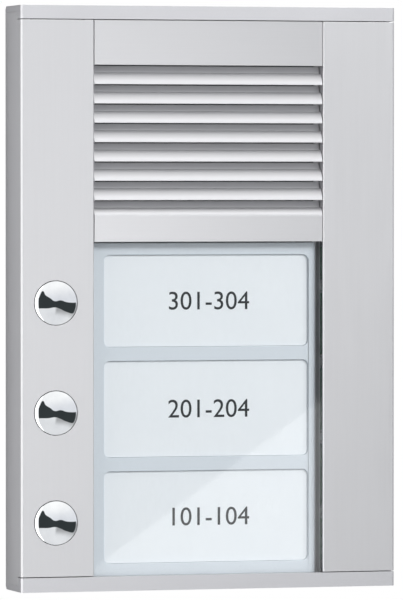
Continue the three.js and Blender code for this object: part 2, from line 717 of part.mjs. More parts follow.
// ---------------------------------------------------------------- main board
const TERMINAL = { pitch: 5, poles: 7, bottom: -80, top: -70, back: -2.7 };
const CHIPS = [{ x: -22, z: -10, half: 6 }, { x: 22, z: -4, half: 4 }];
const CAPACITOR = { radius: 2.4, y: -5.1, z: -88, from: 12, to: 23.5 };

function mainBoard() {
  const y = [MAIN_BOARD.front, MAIN_BOARD.back];
  const chips = CHIPS.map(({ x, z, half }) =>
    block([x - half, x + half], [y[1] - 0.5, y[1] + 1.4], [z - half, z + half]),
  );
  const holes = STANDOFFS.map(([x, z]) => rod(1.5, [y[0] - 1, y[1] + 1], 8).translate([x, 0, z]));
  return cut(join(block([-40, 40], y, [-97, 17]), ...chips), ...holes);
}

function terminalBlock() {
  const { pitch, poles, bottom, top, back } = TERMINAL;
  const half = (pitch * poles) / 2;
  const front = MAIN_BOARD.back + GAP;
  const tools = [];
  for (let i = 0; i < poles; i += 1) {
    const x = (i - (poles - 1) / 2) * pitch;
    tools.push(block([x - 1.6, x + 1.6], [front + 0.9, back - 0.8], [top - 3, top + 1]));
    tools.push(rod(1.5, [back - 1.2, back + 1], 8).translate([x, 0, bottom + 3.4]));
  }
  return cut(block([-half, half], [front, back], [bottom, top]), ...tools);
}

function storageCapacitor() {
  const { radius, y, z, from, to } = CAPACITOR;
  return alongX(disc(radius, y, z), [from, to], 10);
}

place(front, 'main_board', mainBoard(), looks.board);
place(front, 'terminal_block', terminalBlock(), looks.terminal);
place(front, 'storage_capacitor', storageCapacitor(), looks.can);
[STANDOFFS[0], STANDOFFS[3]].forEach(([x, z], i) => {
  const at = [x, MAIN_BOARD.back + GAP, z];
  place(front, `board_screw_${i + 1}`, panScrew(1, 2.2, 4.6), looks.steel, at);
});

// ---------------------------------------------------------------- push-buttons
const CARRIER = { front: FACE + SHEET + GAP, back: -20.2, bore: 9.15, tube: 9.9, floor: -18.2 };
const SPRING_TUBE = { bore: 4.2, outer: 5.4, floor: -14.4, back: -13.2, shaftHole: 2.3 };
const POST_Z = [-21.45, -61.75];
const POST_X = -56;
const BUTTON_SHEET = { left: -63.5, right: -48.5, bottom: -94, top: 11 };
const FLANGE = { radius: 8.75, front: -20.7, back: -19.7 };
const STEM = { disc: 3.9, front: -19.4, discBack: -18.4, shaft: 2, end: -12.5 };
const SWITCH = { half: 4.5, front: -9.9, bore: 2.1, boreEnd: -7 };
const PLUNGER = { radius: 1.8, front: -12.2, back: -8.6 };
const SPRING = { wire: 0.28, coil: 3.2, turns: 3.5 };
const SEAL = { inner: 8.2, outer: 8.75, front: -21.7, back: -21 };

function buttonCarrier() {
  const edge = [-HALF_W + SHEET + GAP, -OPENING - SHEET - GAP];
  const length = [BUTTON_SHEET.bottom - 1, BUTTON_SHEET.top + 1];
  const plate = block(edge, [CARRIER.front, CARRIER.back], length);
  const at = (z) => [BUTTON_X, 0, z];
  const cups = BUTTON_Z.map((z) => rod(CARRIER.tube, [CARRIER.front, -17], 24).translate(at(z)));
  const tubes = BUTTON_Z.map((z) => rod(SPRING_TUBE.outer, [-17.5, SPRING_TUBE.back], 16).translate(at(z)));
  const bores = BUTTON_Z.map((z) =>
    turned(
      [[0, -30], [CARRIER.bore, -30], [CARRIER.bore, CARRIER.floor], [SPRING_TUBE.bore, CARRIER.floor],
        [SPRING_TUBE.bore, SPRING_TUBE.floor], [SPRING_TUBE.shaftHole, SPRING_TUBE.floor],
        [SPRING_TUBE.shaftHole, 0], [0, 0]],
      24,
    ).translate(at(z)),
  );
  const posts = POST_Z.map((z) =>
    rod(POST.radius, [CARRIER.back - 0.5, BUTTON_BOARD.front - GAP]).translate([POST_X, 0, z]),
  );
  const screwHoles = POST_Z.map((z) => rod(POST.hole, [-11, 0], 8).translate([POST_X, 0, z]));
  return cut(join(plate, ...cups, ...tubes, ...posts), ...bores, ...screwHoles);
}

function buttonBoard() {
  const { left, right, bottom, top } = BUTTON_SHEET;
  const sheet = block([left, right], [BUTTON_BOARD.front, BUTTON_BOARD.back], [bottom, top]);
  return cut(sheet, ...POST_Z.map((z) => rod(POST.hole, [-8, 0], 8).translate([POST_X, 0, z])));
}

// flat ribbon from the button board's front to the main board's back
function buttonRibbon() {
  const [high, low, thick] = [BUTTON_BOARD.front - GAP, MAIN_BOARD.back + GAP, 0.4];
  const section = outline([
    [-52.5, high - thick], [-46.5, high - thick], [-43.5, low], [-37.5, low],
    [-37.5, low + thick], [-43.3, low + thick], [-46.3, high], [-52.5, high],
  ]);
  return alongZ(section, [-33, -21]);
}

function buttonCap() {
  const rim = FACE - BUTTON_PROUD;
  const crown = rim - BUTTON_DOME;
  const ball = (BUTTON_RADIUS ** 2 + BUTTON_DOME ** 2) / (2 * BUTTON_DOME);
  const reach = Math.asin(BUTTON_RADIUS / ball);
  const profile = [];
  for (let i = 0; i <= DOME_RINGS; i += 1) {
    const angle = (reach * i) / DOME_RINGS;
    profile.push([ball * Math.sin(angle), crown + ball * (1 - Math.cos(angle))]);
  }
  profile.push([BUTTON_RADIUS, FLANGE.front], [FLANGE.radius, FLANGE.front]);
  profile.push([FLANGE.radius, FLANGE.back], [0, FLANGE.back]);
  return turned(profile, 28);
}

function buttonStem() {
  const { disc: head, front: y0, discBack, shaft, end } = STEM;
  return turned([[0, y0], [head, y0], [head, discBack], [shaft, discBack], [shaft, end], [0, end]], 14);
}

class Helix extends THREE.Curve {
  constructor(radius, turns, start, length) {
    super();
    Object.assign(this, { radius, turns, start, length });
  }

  getPoint(t, target = new THREE.Vector3()) {
    const angle = 2 * Math.PI * this.turns * t;
    const [x, z] = [this.radius * Math.cos(angle), this.radius * Math.sin(angle)];
    return target.set(x, this.start + this.length * t, z);
  }
}

function returnSpring() {
  const { wire, coil, turns } = SPRING;
  const start = STEM.discBack + GAP + wire;
  const length = SPRING_TUBE.floor - GAP - wire - start;
  const path = new Helix(coil, turns, start, length);
  const run = { extrudePath: path, steps: 32, curveSegments: 2, bevelEnabled: false };
  return solid(new THREE.ExtrudeGeometry(disc(wire), run));
}

function switchHousing() {
  const { half, front: y0, bore, boreEnd } = SWITCH;
  const body = block([-half, half], [y0, BUTTON_BOARD.front - GAP], [-half, half]);
  return cut(body, rod(bore, [y0 - 1, boreEnd]));
}

place(front, 'button_carrier', buttonCarrier(), looks.blackPlastic);
place(front, 'button_board', buttonBoard(), looks.board);
place(front, 'button_ribbon', buttonRibbon(), looks.ribbon);
POST_Z.forEach((z, i) => {
  const at = [POST_X, BUTTON_BOARD.back + GAP, z];
  place(front, `button_board_screw_${i + 1}`, panScrew(1, 2, 5), looks.steel, at);
});

BUTTON_Z.forEach((z, i) => {
  const at = [BUTTON_X, 0, z];
  const button = new THREE.Group();
  front.add(button);
  place(button, `button_cap_${i + 1}`, buttonCap(), looks.chrome, at);
  place(button, `button_stem_${i + 1}`, buttonStem(), looks.blackPlastic, at);
  const plunger = rod(PLUNGER.radius, [PLUNGER.front, PLUNGER.back]);
  const seal = ring(SEAL.inner, SEAL.outer, [SEAL.front, SEAL.back], 24);
  place(button, `switch_plunger_${i + 1}`, plunger, looks.frame, at);
  place(button, `return_spring_${i + 1}`, returnSpring(), looks.spring, at);
  place(front, `button_seal_${i + 1}`, seal, looks.rubber, at);
  place(front, `switch_housing_${i + 1}`, switchHousing(), looks.blackPlastic, at);
});

export default intercom;
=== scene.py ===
import json
import math

import bmesh
import bpy
from mathutils import Matrix, Vector

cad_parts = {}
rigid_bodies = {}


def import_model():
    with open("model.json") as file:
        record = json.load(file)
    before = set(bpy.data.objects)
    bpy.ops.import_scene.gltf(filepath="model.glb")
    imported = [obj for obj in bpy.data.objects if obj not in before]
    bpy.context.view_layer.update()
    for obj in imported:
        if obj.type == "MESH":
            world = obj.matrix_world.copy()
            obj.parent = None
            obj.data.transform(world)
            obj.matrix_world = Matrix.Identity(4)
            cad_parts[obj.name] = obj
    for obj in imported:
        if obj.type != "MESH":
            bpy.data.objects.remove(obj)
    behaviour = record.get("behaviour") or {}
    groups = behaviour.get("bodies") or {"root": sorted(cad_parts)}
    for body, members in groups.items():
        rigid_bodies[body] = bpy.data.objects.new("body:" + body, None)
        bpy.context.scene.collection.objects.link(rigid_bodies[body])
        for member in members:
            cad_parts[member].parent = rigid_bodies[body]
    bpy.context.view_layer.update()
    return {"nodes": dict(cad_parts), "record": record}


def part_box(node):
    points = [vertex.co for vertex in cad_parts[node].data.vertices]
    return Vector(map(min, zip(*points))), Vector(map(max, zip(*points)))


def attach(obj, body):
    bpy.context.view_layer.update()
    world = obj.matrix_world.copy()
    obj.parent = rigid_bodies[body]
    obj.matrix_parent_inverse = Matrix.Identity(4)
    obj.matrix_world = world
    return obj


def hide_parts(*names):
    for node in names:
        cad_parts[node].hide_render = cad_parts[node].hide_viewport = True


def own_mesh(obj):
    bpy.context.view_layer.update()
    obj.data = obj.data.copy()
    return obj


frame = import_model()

# Looks of a surface-mounted door intercom panel. Lengths are millimetres in the part's own frame
# until a mesh is made: X to the right, Y into the wall, Z up, and the front faces -Y.
MM = 0.001


# ---- places taken from the frame
def limits(node):
    """A node's limits in millimetres: three (low, high) pairs."""
    low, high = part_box(node)
    return [(a / MM, b / MM) for a, b in zip(low, high)]


def middle(node):
    return [(a + b) / 2 for a, b in limits(node)]


def spot(node):
    """Where a node's middle is on the panel: x and z."""
    x, _, z = middle(node)
    return x, z


HOUSING_X = limits("top_cap")[0][1]
HOUSING_TOP = limits("top_cap")[2][1]
HOUSING_BOTTOM = limits("bottom_cap")[2][0]
FACE = limits("left_profile")[1][0]
OPENING = limits("left_profile")[0][1]


# ---- camera
CAMERA = {"azimuth": -16.5, "elevation": 1.112, "distance": 2222.65, "lens": 357.7}
CAMERA_TARGET = (4.04, 0, -1.18)


def direction(azimuth, elevation):
    """The way from the object towards a place in the room, 0 azimuth being straight in front."""
    turn, rise = math.radians(azimuth), math.radians(elevation)
    return Vector((math.sin(turn) * math.cos(rise), -math.cos(turn) * math.cos(rise), math.sin(rise)))


def placed(name, data):
    """A new object in the scene."""
    obj = bpy.data.objects.new(name, data)
    bpy.context.scene.collection.objects.link(obj)
    return obj


def stand(obj, setting, target=(0, 0, 0)):
    """Stand a camera or a lamp at its azimuth, elevation and distance, looking at the target."""
    towards = direction(setting["azimuth"], setting["elevation"])
    obj.location = (Vector(target) + towards * setting["distance"]) * MM
    obj.rotation_euler = (-towards).to_track_quat("-Z", "Y").to_euler()


def add_camera():
    data = bpy.data.cameras.new("camera")
    data.lens = CAMERA["lens"]
    data.sensor_width = 36
    data.clip_start = 0.05
    data.clip_end = 60
    camera = placed("camera", data)
    stand(camera, CAMERA, CAMERA_TARGET)
    bpy.context.scene.camera = camera


add_camera()


# ---- mesh tools
def arc(center, radius, start, end, steps):
    """Points of an arc, angles in degrees."""
    cx, cy = center
    turns = [math.radians(start + (end - start) * i / steps) for i in range(steps + 1)]
    return [(cx + radius * math.cos(t), cy + radius * math.sin(t)) for t in turns]


def circle(center, radius, steps=48):
    return arc(center, radius, 0, 360, steps)[:-1]


def rounded(u, v, radius, steps=8):
    """A rectangle with round corners, by its limits."""
    inset = (radius, -radius)
    points = []
    for start, a, b in ((0, 1, 1), (90, 0, 1), (180, 0, 0), (270, 1, 0)):
        points += arc((u[a] + inset[a], v[b] + inset[b]), radius, start, start + 90, steps)
    return points


ON_AXIS = {
    "x": lambda u, v, w: (w, u, v),
    "y": lambda u, v, w: (u, w, v),
    "z": lambda u, v, w: (u, v, w),
}


def prism(mesh, outline, axis, run):
    """An outline run along an axis: drawn in YZ for x, XZ for y and XY for z."""
    place = ON_AXIS[axis]
    rings = [[mesh.verts.new(place(u, v, w)) for u, v in outline] for w in run]
    count = len(outline)
    for i in range(count):
        j = (i + 1) % count
        mesh.faces.new((rings[0][i], rings[0][j], rings[1][j], rings[1][i]))
    mesh.faces.new(rings[0])
    mesh.faces.new(rings[1])


def block(mesh, x, y, z):
    prism(mesh, [(x[0], z[0]), (x[1], z[0]), (x[1], z[1]), (x[0], z[1])], "y", y)


def lathe(mesh, profile, center=(0, 0, 0), axis="y", steps=64, closed=False):
    """[radius, along] points turned about an axis through center."""
    cx, cy, cz = center
    rings = []
    for radius, along in profile:
        count = 1 if radius < 1e-6 else steps
        ring = []
        for i in range(count):
            turn = 2 * math.pi * i / steps
            a, b = radius * math.cos(turn), radius * math.sin(turn)
            at = (cx + a, cy + along, cz + b) if axis == "y" else (cx + a, cy + b, cz + along)
            ring.append(mesh.verts.new(at))
        rings.append(ring)
    for one, two in zip(rings, rings[1:] + rings[:1] * closed):
        for i in range(steps):
            j = (i + 1) % steps
            corners = [one[i % len(one)], one[j % len(one)], two[j % len(two)], two[i % len(two)]]
            corners = list(dict.fromkeys(corners))  # a point on the axis counts once
            if len(corners) > 2:
                mesh.faces.new(corners)


def tube(mesh, path, radius, sides=10):
    """A round section carried along a list of points, with flat ends."""
    points = [Vector(p) for p in path]
    rings = []
    side = None
    for i, point in enumerate(points):
        ahead = (points[min(i + 1, len(points) - 1)] - points[max(i - 1, 0)]).normalized()
        if side is None:
            side = ahead.orthogonal().normalized()
        side = (side - ahead * side.dot(ahead)).normalized()
        other = ahead.cross(side)
        ring = []
        for k in range(sides):
            turn = 2 * math.pi * k / sides
            out = side * math.cos(turn) + other * math.sin(turn)
            ring.append(mesh.verts.new(point + out * radius))
        rings.append(ring)
    for one, two in zip(rings, rings[1:]):
        for k in range(sides):
            j = (k + 1) % sides
            mesh.faces.new((one[k], one[j], two[j], two[k]))
    mesh.faces.new(rings[0])
    mesh.faces.new(rings[-1])


def to_object(mesh, name):
    bmesh.ops.recalc_face_normals(mesh, faces=mesh.faces)
    data = bpy.data.meshes.new(name)
    mesh.to_mesh(data)
    mesh.free()
    data.transform(Matrix.Scale(MM, 4))
    return placed(name, data)


def shaped(name, tool, *args):
    """A new object drawn by one mesh tool."""
    mesh = bmesh.new()
    tool(mesh, *args)
    return to_object(mesh, name)


def bake(obj):
    """Apply the object's modifiers to its mesh."""
    bpy.context.view_layer.update()
    graph = bpy.context.evaluated_depsgraph_get()
    data = bpy.data.meshes.new_from_object(obj.evaluated_get(graph), depsgraph=graph)
    obj.modifiers.clear()
    obj.data = data


def clean(mesh):
    """Weld what meets and make each flat face whole again; the mesh is in metres."""
    bmesh.ops.remove_doubles(mesh, verts=mesh.verts, dist=2e-6)
    bmesh.ops.dissolve_limit(mesh, angle_limit=math.radians(0.8), verts=mesh.verts, edges=mesh.edges)


def carve(obj, cutter, operation="DIFFERENCE"):
    """Cut a bmesh out of an object, or join it on."""
    tool = to_object(cutter, "cutter")
    change = obj.modifiers.new("carve", "BOOLEAN")
    change.operation = operation
    change.solver = "EXACT"
    change.object = tool
    bake(obj)
    bpy.data.objects.remove(tool)
    mesh = bmesh.new()
    mesh.from_mesh(obj.data)
    clean(mesh)
    mesh.to_mesh(obj.data)
    mesh.free()


def drill(obj, spots, radius, y, steps=24):
    """Round holes along Y."""
    holes = bmesh.new()
    for place in spots:
        prism(holes, circle(place, radius, steps), "y", y)
    carve(obj, holes)


CREASE = 35


def smooth(obj, angle=30):
    """Smooth shading, broken at every edge that turns further than the angle."""
    obj.data.shade_smooth()
    mesh = bmesh.new()
    mesh.from_mesh(obj.data)
    for edge in mesh.edges:
        edge.smooth = len(edge.link_faces) == 2 and edge.calc_face_angle(0) < math.radians(angle)
    mesh.to_mesh(obj.data)
    mesh.free()


def soften(obj, width=0.12, segments=2, angle=30):
    """Small rounds on every sharp edge, with the flats left flat."""
    bevel = obj.modifiers.new("edge rounds", "BEVEL")
    bevel.width = width * MM
    bevel.segments = segments
    bevel.limit_method = "ANGLE"
    bevel.angle_limit = math.radians(angle)
    bevel.use_clamp_overlap = True
    bake(obj)
    smooth(obj, CREASE)
    weights = obj.modifiers.new("flat faces lead", "WEIGHTED_NORMAL")
    weights.keep_sharp = True
    weights.weight = 100
    bake(obj)


def copy_of(node, name):
    """A fresh mesh with a CAD node's shape, its flat faces made whole."""
    source = frame["nodes"][node]
    mesh = bmesh.new()
    mesh.from_mesh(source.data)
    mesh.transform(source.matrix_world)
    clean(mesh)
    data = bpy.data.meshes.new(name)
    mesh.to_mesh(data)
    mesh.free()
    return placed(name, data)


# ---- materials
def linear(value):
    return value / 12.92 if value <= 0.04045 else ((value + 0.055) / 1.055) ** 2.4


def colour(code, gain=1.0):
    """An sRGB hex colour as a linear RGBA value."""
    parts = [int(code[i : i + 2], 16) / 255 for i in (0, 2, 4)]
    return tuple(min(1.0, linear(part) * gain) for part in parts) + (1.0,)


class Nodes:
    """Short ways to build a node tree."""

    def __init__(self, tree):
        self.tree = tree

    def link(self, output, target):
        self.tree.links.new(output, target)

    def add(self, kind, inputs=(), **settings):
        """A new node's outputs; an input takes a value, or another node's output."""
        made = self.tree.nodes.new(kind)
        for key, value in settings.items():
            setattr(made, key, value)
        for socket, value in dict(inputs).items():
            if isinstance(value, bpy.types.NodeSocket):
                self.link(value, made.inputs[socket])
            else:
                made.inputs[socket].default_value = value
        return made.outputs

    def math(self, operation, *values):
        return self.add("ShaderNodeMath", enumerate(values), operation=operation)["Value"]

    def mix(self, factor, one, two, blend="MIX"):
        inputs = {0: factor, 6: one, 7: two}
        return self.add("ShaderNodeMix", inputs, data_type="RGBA", blend_type=blend)[2]

    def split(self, vector):
        """The X, Y and Z of a vector."""
        return self.add("ShaderNodeSeparateXYZ", {"Vector": vector})


class Surface(Nodes):
    """One node material under construction: a Principled shader and what feeds it."""

    def __init__(self, name, roughness, metallic=0.0, **sockets):
        self.material = bpy.data.materials.new(name)
        self.material.use_nodes = True
        super().__init__(self.material.node_tree)
        self.shader = self.tree.nodes["Principled BSDF"]
        self.shader.inputs["Metallic"].default_value = metallic
        self.shader.inputs["Roughness"].default_value = roughness
        for socket, value in sockets.items():
            self.shader.inputs[socket.replace("_", " ")].default_value = value
        self.place = self.add("ShaderNodeTexCoord")["Object"]

    def noise(self, scale, stretch=(1, 1, 1), detail=4.0):
        """Grain at a number of cells per metre, drawn out along the axes with a low stretch."""
        drawn = self.add("ShaderNodeMapping", {"Vector": self.place, "Scale": stretch})["Vector"]
        return self.add("ShaderNodeTexNoise", {"Vector": drawn, "Scale": scale, "Detail": detail})["Fac"]

    def cells(self, scale):
        return self.add("ShaderNodeTexVoronoi", {"Vector": self.place, "Scale": scale})

    def bands(self, pitch, way):
        """Even waves along an axis, one to each pitch in millimetres."""
        inputs = {"Vector": self.place, "Scale": 2 * math.pi / 20 / (pitch * MM)}
        return self.add("ShaderNodeTexWave", inputs, wave_type="BANDS", bands_direction=way)["Fac"]

    def ramp(self, factor, *stops):
        made = self.tree.nodes.new("ShaderNodeValToRGB")
        for element, (position, value) in zip(made.color_ramp.elements, stops):
            element.position = position
            element.color = value
        self.link(factor, made.inputs["Fac"])
        return made.outputs["Color"]

    def spread(self, factor, low, high, start=0.3, end=0.7):
        inputs = {"Value": factor, "From Min": start, "From Max": end, "To Min": low, "To Max": high}
        return self.add("ShaderNodeMapRange", inputs)["Result"]

    def finish(self, tone, gloss, height, depth):
        """Feed the shader's colour, roughness and bump, the depth of the bump in millimetres."""
        bump = self.add("ShaderNodeBump", {"Strength": 1, "Distance": depth * MM, "Height": height})["Normal"]
        for socket, value in (("Base Color", tone), ("Roughness", gloss), ("Normal", bump)):
            self.link(value, self.shader.inputs[socket])
        return self


def grained(name, code, roughness, scale, shade, depth, metallic=0.0, uneven=0.05, stretch=(1, 1, 1),
            **sockets):
    """The common finish: colour, roughness and bump all carry the same fine grain, with slow clouds.

    The scale is in grains per metre, the depth of the bump in millimetres.
    """
    surface = Surface(name, roughness, metallic, **sockets)
    fine = surface.noise(scale, stretch, 5.0)
    cloud = surface.noise(22, detail=2.0)
    fine_colour = surface.ramp(fine, (0.3, colour(code, 1 - shade)), (0.7, colour(code, 1 + shade)))
    veil = surface.ramp(cloud, (0.35, (1 - shade / 2,) * 3 + (1,)), (0.65, (1, 1, 1, 1)))
    both = surface.math("ADD", surface.math("MULTIPLY", fine, 0.7), surface.math("MULTIPLY", cloud, 0.3))
    gloss = surface.spread(both, roughness - uneven, roughness + uneven)
    return surface.finish(surface.mix(1.0, fine_colour, veil, "MULTIPLY"), gloss, fine, depth)


def galvanised(name):
    """Zinc spangles: large flat crystals, each with its own grey and gloss."""
    surface = Surface(name, 0.42, 0.9)
    tone = surface.math("MULTIPLY", surface.cells(210)["Color"], 1.0)
    greys = surface.ramp(tone, (0.1, colour("b0b4b8")), (0.9, colour("d9dcdf")))
    return surface.finish(greys, surface.spread(tone, 0.34, 0.5, 0.0, 1.0), surface.noise(1500), 0.006)


def circuit(name):
    """Solder mask over copper tracks: straight runs and pads show through the green."""
    surface = Surface(name, 0.32, 0.0, IOR=1.52)
    flat = surface.split(surface.place)
    plan = surface.add("ShaderNodeCombineXYZ", {"X": flat["X"], "Y": flat["Z"]})["Vector"]
    runs = {"Vector": plan, "Scale": 190, "Mortar Size": 0.045, "Mortar Smooth": 0.2, "Brick Width": 1.7,
            "Row Height": 0.24}
    tracks = surface.add("ShaderNodeTexBrick", runs, offset=0.35)["Fac"]
    vias = surface.math("LESS_THAN", surface.cells(330)["Distance"], 0.13)
    mask = surface.mix(tracks, colour("1b5a36"), colour("2f7d4d"))
    tone = surface.mix(vias, mask, colour("b59a5c"))
    return surface.finish(tone, surface.spread(surface.noise(900), 0.26, 0.4), tracks, 0.03)


def woven(name, code, pitch):
    """Plain woven wire: two crossing sets of round wires, one pitch in millimetres, with painted shade in the
    gaps between the wires and down their flanks.
    """
    surface = Surface(name, 0.42, 0.85)
    weave = surface.math("MAXIMUM", surface.bands(pitch, "X"), surface.bands(pitch, "Z"))
    grime = surface.noise(500)
    # painted shade: near-black where both sets of wires fall away, darkening gradually down each wire's
    # flanks
    painted_shade = surface.ramp(weave, (0.45, colour("0c0d0e")), (0.95, colour(code)))
    dirt = surface.ramp(grime, (0.3, colour("3a3c3e")), (0.7, colour(code)))
    return surface.finish(surface.mix(0.2, painted_shade, dirt), surface.spread(grime, 0.36, 0.5), weave, 0.16)


def banded(name, code, painted_groove_shade, pitch, axis):
    """Flat cable: parallel cores with a groove between each pair, each groove darkened with painted shade."""
    surface = Surface(name, 0.5)
    wave = surface.bands(pitch, axis)
    # painted shade: the grooves between the cores are painted darker
    tone = surface.ramp(wave, (0.05, colour(painted_groove_shade)), (0.35, colour(code)))
    return surface.finish(tone, surface.spread(surface.noise(1200), 0.42, 0.58), wave, 0.12)


def printed_paper(name, code):
    """Bright matt label card with fibres."""
    surface = Surface(name, 0.62, Specular_IOR_Level=0.35)
    fibres = surface.noise(1500, (1, 1, 0.35), 6.0)
    tone = surface.ramp(fibres, (0.25, colour(code, 0.975)), (0.75, colour(code, 1.015)))
    veil = surface.ramp(surface.noise(60), (0.3, (0.985, 0.988, 0.992, 1)), (0.7, (1, 1, 1, 1)))
    tone = surface.mix(1.0, tone, veil, "MULTIPLY")
    return surface.finish(tone, surface.spread(fibres, 0.56, 0.7), fibres, 0.008)


def clear_acrylic(name):
    """Polished clear sheet: light goes straight through its faces and its cut edges turn it back."""
    surface = Surface(name, 0.03)
    inside = surface.add("ShaderNodeNewGeometry")["Backfacing"]
    fresnel = surface.add("ShaderNodeFresnel", {"IOR": 1.49})["Fac"]
    front_mirror = surface.math("MULTIPLY", fresnel, surface.math("SUBTRACT", 1.0, inside))
    facing = surface.split(surface.add("ShaderNodeTexCoord")["Normal"])
    across = surface.math("MAXIMUM", *(surface.math("ABSOLUTE", facing[axis]) for axis in "XZ"))
    edge_mirror = surface.math("MULTIPLY", surface.math("GREATER_THAN", across, 0.7), inside)
    share = surface.math("MAXIMUM", front_mirror, edge_mirror)
    clear = surface.add("ShaderNodeBsdfTransparent", {"Color": (0.985, 0.992, 0.99, 1)})["BSDF"]
    gloss = surface.spread(surface.noise(180), 0.015, 0.045)
    mirror = surface.add("ShaderNodeBsdfGlossy", {"Roughness": gloss})["BSDF"]
    both = surface.add("ShaderNodeMixShader", {0: share, 1: clear, 2: mirror})["Shader"]
    surface.link(both, surface.tree.nodes["Material Output"].inputs["Surface"])
    surface.tree.nodes.remove(surface.shader)
    return surface


def chrome_plate(name):
    """Mirror chrome with the faintest orange peel."""
    surface = Surface(name, 0.03, 1.0)
    peel = surface.noise(160, detail=2.0)
    tone = surface.ramp(peel, (0.3, colour("eceef0")), (0.7, colour("f8fafb")))
    return surface.finish(tone, surface.spread(surface.noise(2600), 0.012, 0.04), peel, 0.0015)


DRAWN_UPRIGHT = (1, 1, 0.012)
DRAWN_LEVEL = (0.012, 1, 1)
looks = {
    "profile": grained("anodised_profile", "cfcfd1", 0.45, 2600, 0.01, 0.0004, 0.85, 0.02, DRAWN_UPRIGHT),
    "louvre": grained("anodised_louvre", "d3d3d5", 0.42, 2600, 0.01, 0.0004, 0.85, 0.02, DRAWN_LEVEL),
    "cap": grained("blasted_cap", "cdcdd0", 0.46, 4200, 0.03, 0.002, 0.85, 0.04),
    "chrome": chrome_plate("mirror_chrome"),
    "clear": clear_acrylic("clear_acrylic"),
    "frame": grained("label_frame_plastic", "dbe1e9", 0.42, 1800, 0.02, 0.006),
    "label": printed_paper("label_card", "f2f5fa"),
    "ink": grained("printing_ink", "22262b", 0.55, 3000, 0.08, 0.002),
    "diffuser": grained("opal_diffuser", "eef1f2", 0.45, 900, 0.015, 0.003,
                        Subsurface_Weight=0.2, Subsurface_Scale=0.002),
    "board": circuit("solder_mask"),
    "chip": grained("chip_epoxy", "1c1d1f", 0.5, 3500, 0.15, 0.008),
    "tin": grained("tinned_pad", "c9ccce", 0.28, 1500, 0.05, 0.01, 1.0),
    "ceramic": grained("ceramic_body", "b79a72", 0.5, 2500, 0.06, 0.004),
    "led": grained("led_lens", "f4efd6", 0.2, 1200, 0.03, 0.002),
    "black_plastic": grained("black_moulding", "232427", 0.5, 2200, 0.12, 0.012),
    "white_plastic": grained("white_moulding", "dfe2e3", 0.42, 2200, 0.02, 0.006),
    "grey_plastic": grained("grey_moulding", "8f9297", 0.55, 1800, 0.05, 0.012),
    "rubber": grained("black_rubber", "1a1b1c", 0.78, 1600, 0.2, 0.015),
    "steel": grained("screw_steel", "b9bcbf", 0.3, 2200, 0.05, 0.002, 1.0, 0.06, (1, 1, 0.2)),
    "galvanised": galvanised("galvanised_sheet"),
    "spring": grained("spring_wire", "c6c9cc", 0.24, 3000, 0.05, 0.002, 1.0),
    "paper": grained("cone_paper", "2c2a28", 0.85, 900, 0.25, 0.02),
    "magnet": grained("ferrite_magnet", "38393c", 0.55, 1100, 0.12, 0.012, 0.25),
    "gauze": woven("wire_gauze", "8c938f", 0.5),
    "terminal": grained("terminal_moulding", "2b8a4a", 0.45, 1800, 0.06, 0.008),
    "sleeve": grained("capacitor_sleeve", "232a66", 0.3, 1200, 0.06, 0.003, 0.1),
    "red_core": grained("red_insulation", "a8322b", 0.5, 1500, 0.06, 0.004),
    "black_core": grained("black_insulation", "202123", 0.5, 1500, 0.1, 0.004),
    "ribbon": banded("ribbon_cable", "d3cfbf", "8f8b7c", 1.27, "Z"),
}


# ---- fitting a piece to the frame
def body_of(node):
    bodies = frame["record"]["behaviour"]["bodies"]
    return next(body for body, nodes in bodies.items() if node in nodes)


def fit(obj, look, *nodes, body=None, slot=None):
    """Give a piece its material and its body, and hide the CAD nodes that it stands for. The slot is not
    used.
    """
    obj.data.materials.clear()
    obj.data.materials.append(looks[look].material)
    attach(obj, body or body_of(nodes[0]))
    if nodes:
        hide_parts(*nodes)
    return obj


def dress(node, look, round_width=0.15, segments=2):
    """A node whose shape is right, with rounded edges."""
    obj = copy_of(node, node + "_piece")
    soften(obj, round_width, segments)
    return fit(obj, look, node)


SLOTS = {"ink": "label_paper", "tin": "screw_steel", "steel": "screw_steel", "chip": "black_plastic",
         "white_plastic": "white_plastic", "led": "diffuser", "ceramic": "ribbon_insulation"}


def added(obj, look):
    """A piece of the front that no CAD node stands for, such as printing or a solder pad."""
    return fit(obj, look, body="front", slot=SLOTS[look])


def turned(node, name, look, profile, steps=64, closed=False):
    """A node turned about the Y axis through its middle, from [radius, y] points."""
    x, z = spot(node)
    obj = shaped(name, lathe, profile, (x, 0, z), "y", steps, closed)
    smooth(obj)
    return fit(obj, look, node)


# ---- wall base
dress("wall_base_plate", "galvanised", 0.25)
dress("perimeter_gasket", "rubber", 0.3, 3)
dress("cable_grommet", "rubber", 0.4, 3)


# ---- side profiles
BUTTONS = (1, 2, 3)
BUTTON_HOLE = 8.25
PROFILE_SKIN = 2
PROFILE_STRETCH = 0.26  # closes the seams at the caps to a hair


def side_profiles():
    right = copy_of("right_profile", "right_profile_piece")
    left = copy_of("right_profile", "left_profile_piece")
    left.data.transform(Matrix.Scale(-1, 4, (1, 0, 0)))
    left.data.flip_normals()
    buttons = [spot(f"button_cap_{number}") for number in BUTTONS]
    drill(left, buttons, BUTTON_HOLE, (FACE - 1, FACE + PROFILE_SKIN + 1), 96)
    for obj in (left, right):
        heights = [vertex.co.z for vertex in obj.data.vertices]
        ends = ((max(heights), 1), (min(heights), -1))
        for vertex in obj.data.vertices:
            for end, sign in ends:
                if abs(vertex.co.z - end) < 0.01 * MM:
                    vertex.co.z += sign * PROFILE_STRETCH * MM
        soften(obj, 0.09)
    fit(left, "profile", "left_profile")
    fit(right, "profile", "right_profile")


side_profiles()


# ---- end caps and their screws
SEAT = {"radius": 3.16, "neck": 1.85, "depth": 1.95}
SCREW = {"head": 2.8, "cone": 1.6, "shank": 1.5, "core": 1.28, "pitch": 0.5}
SOCKET = {"radius": 1.2, "depth": 1.1}


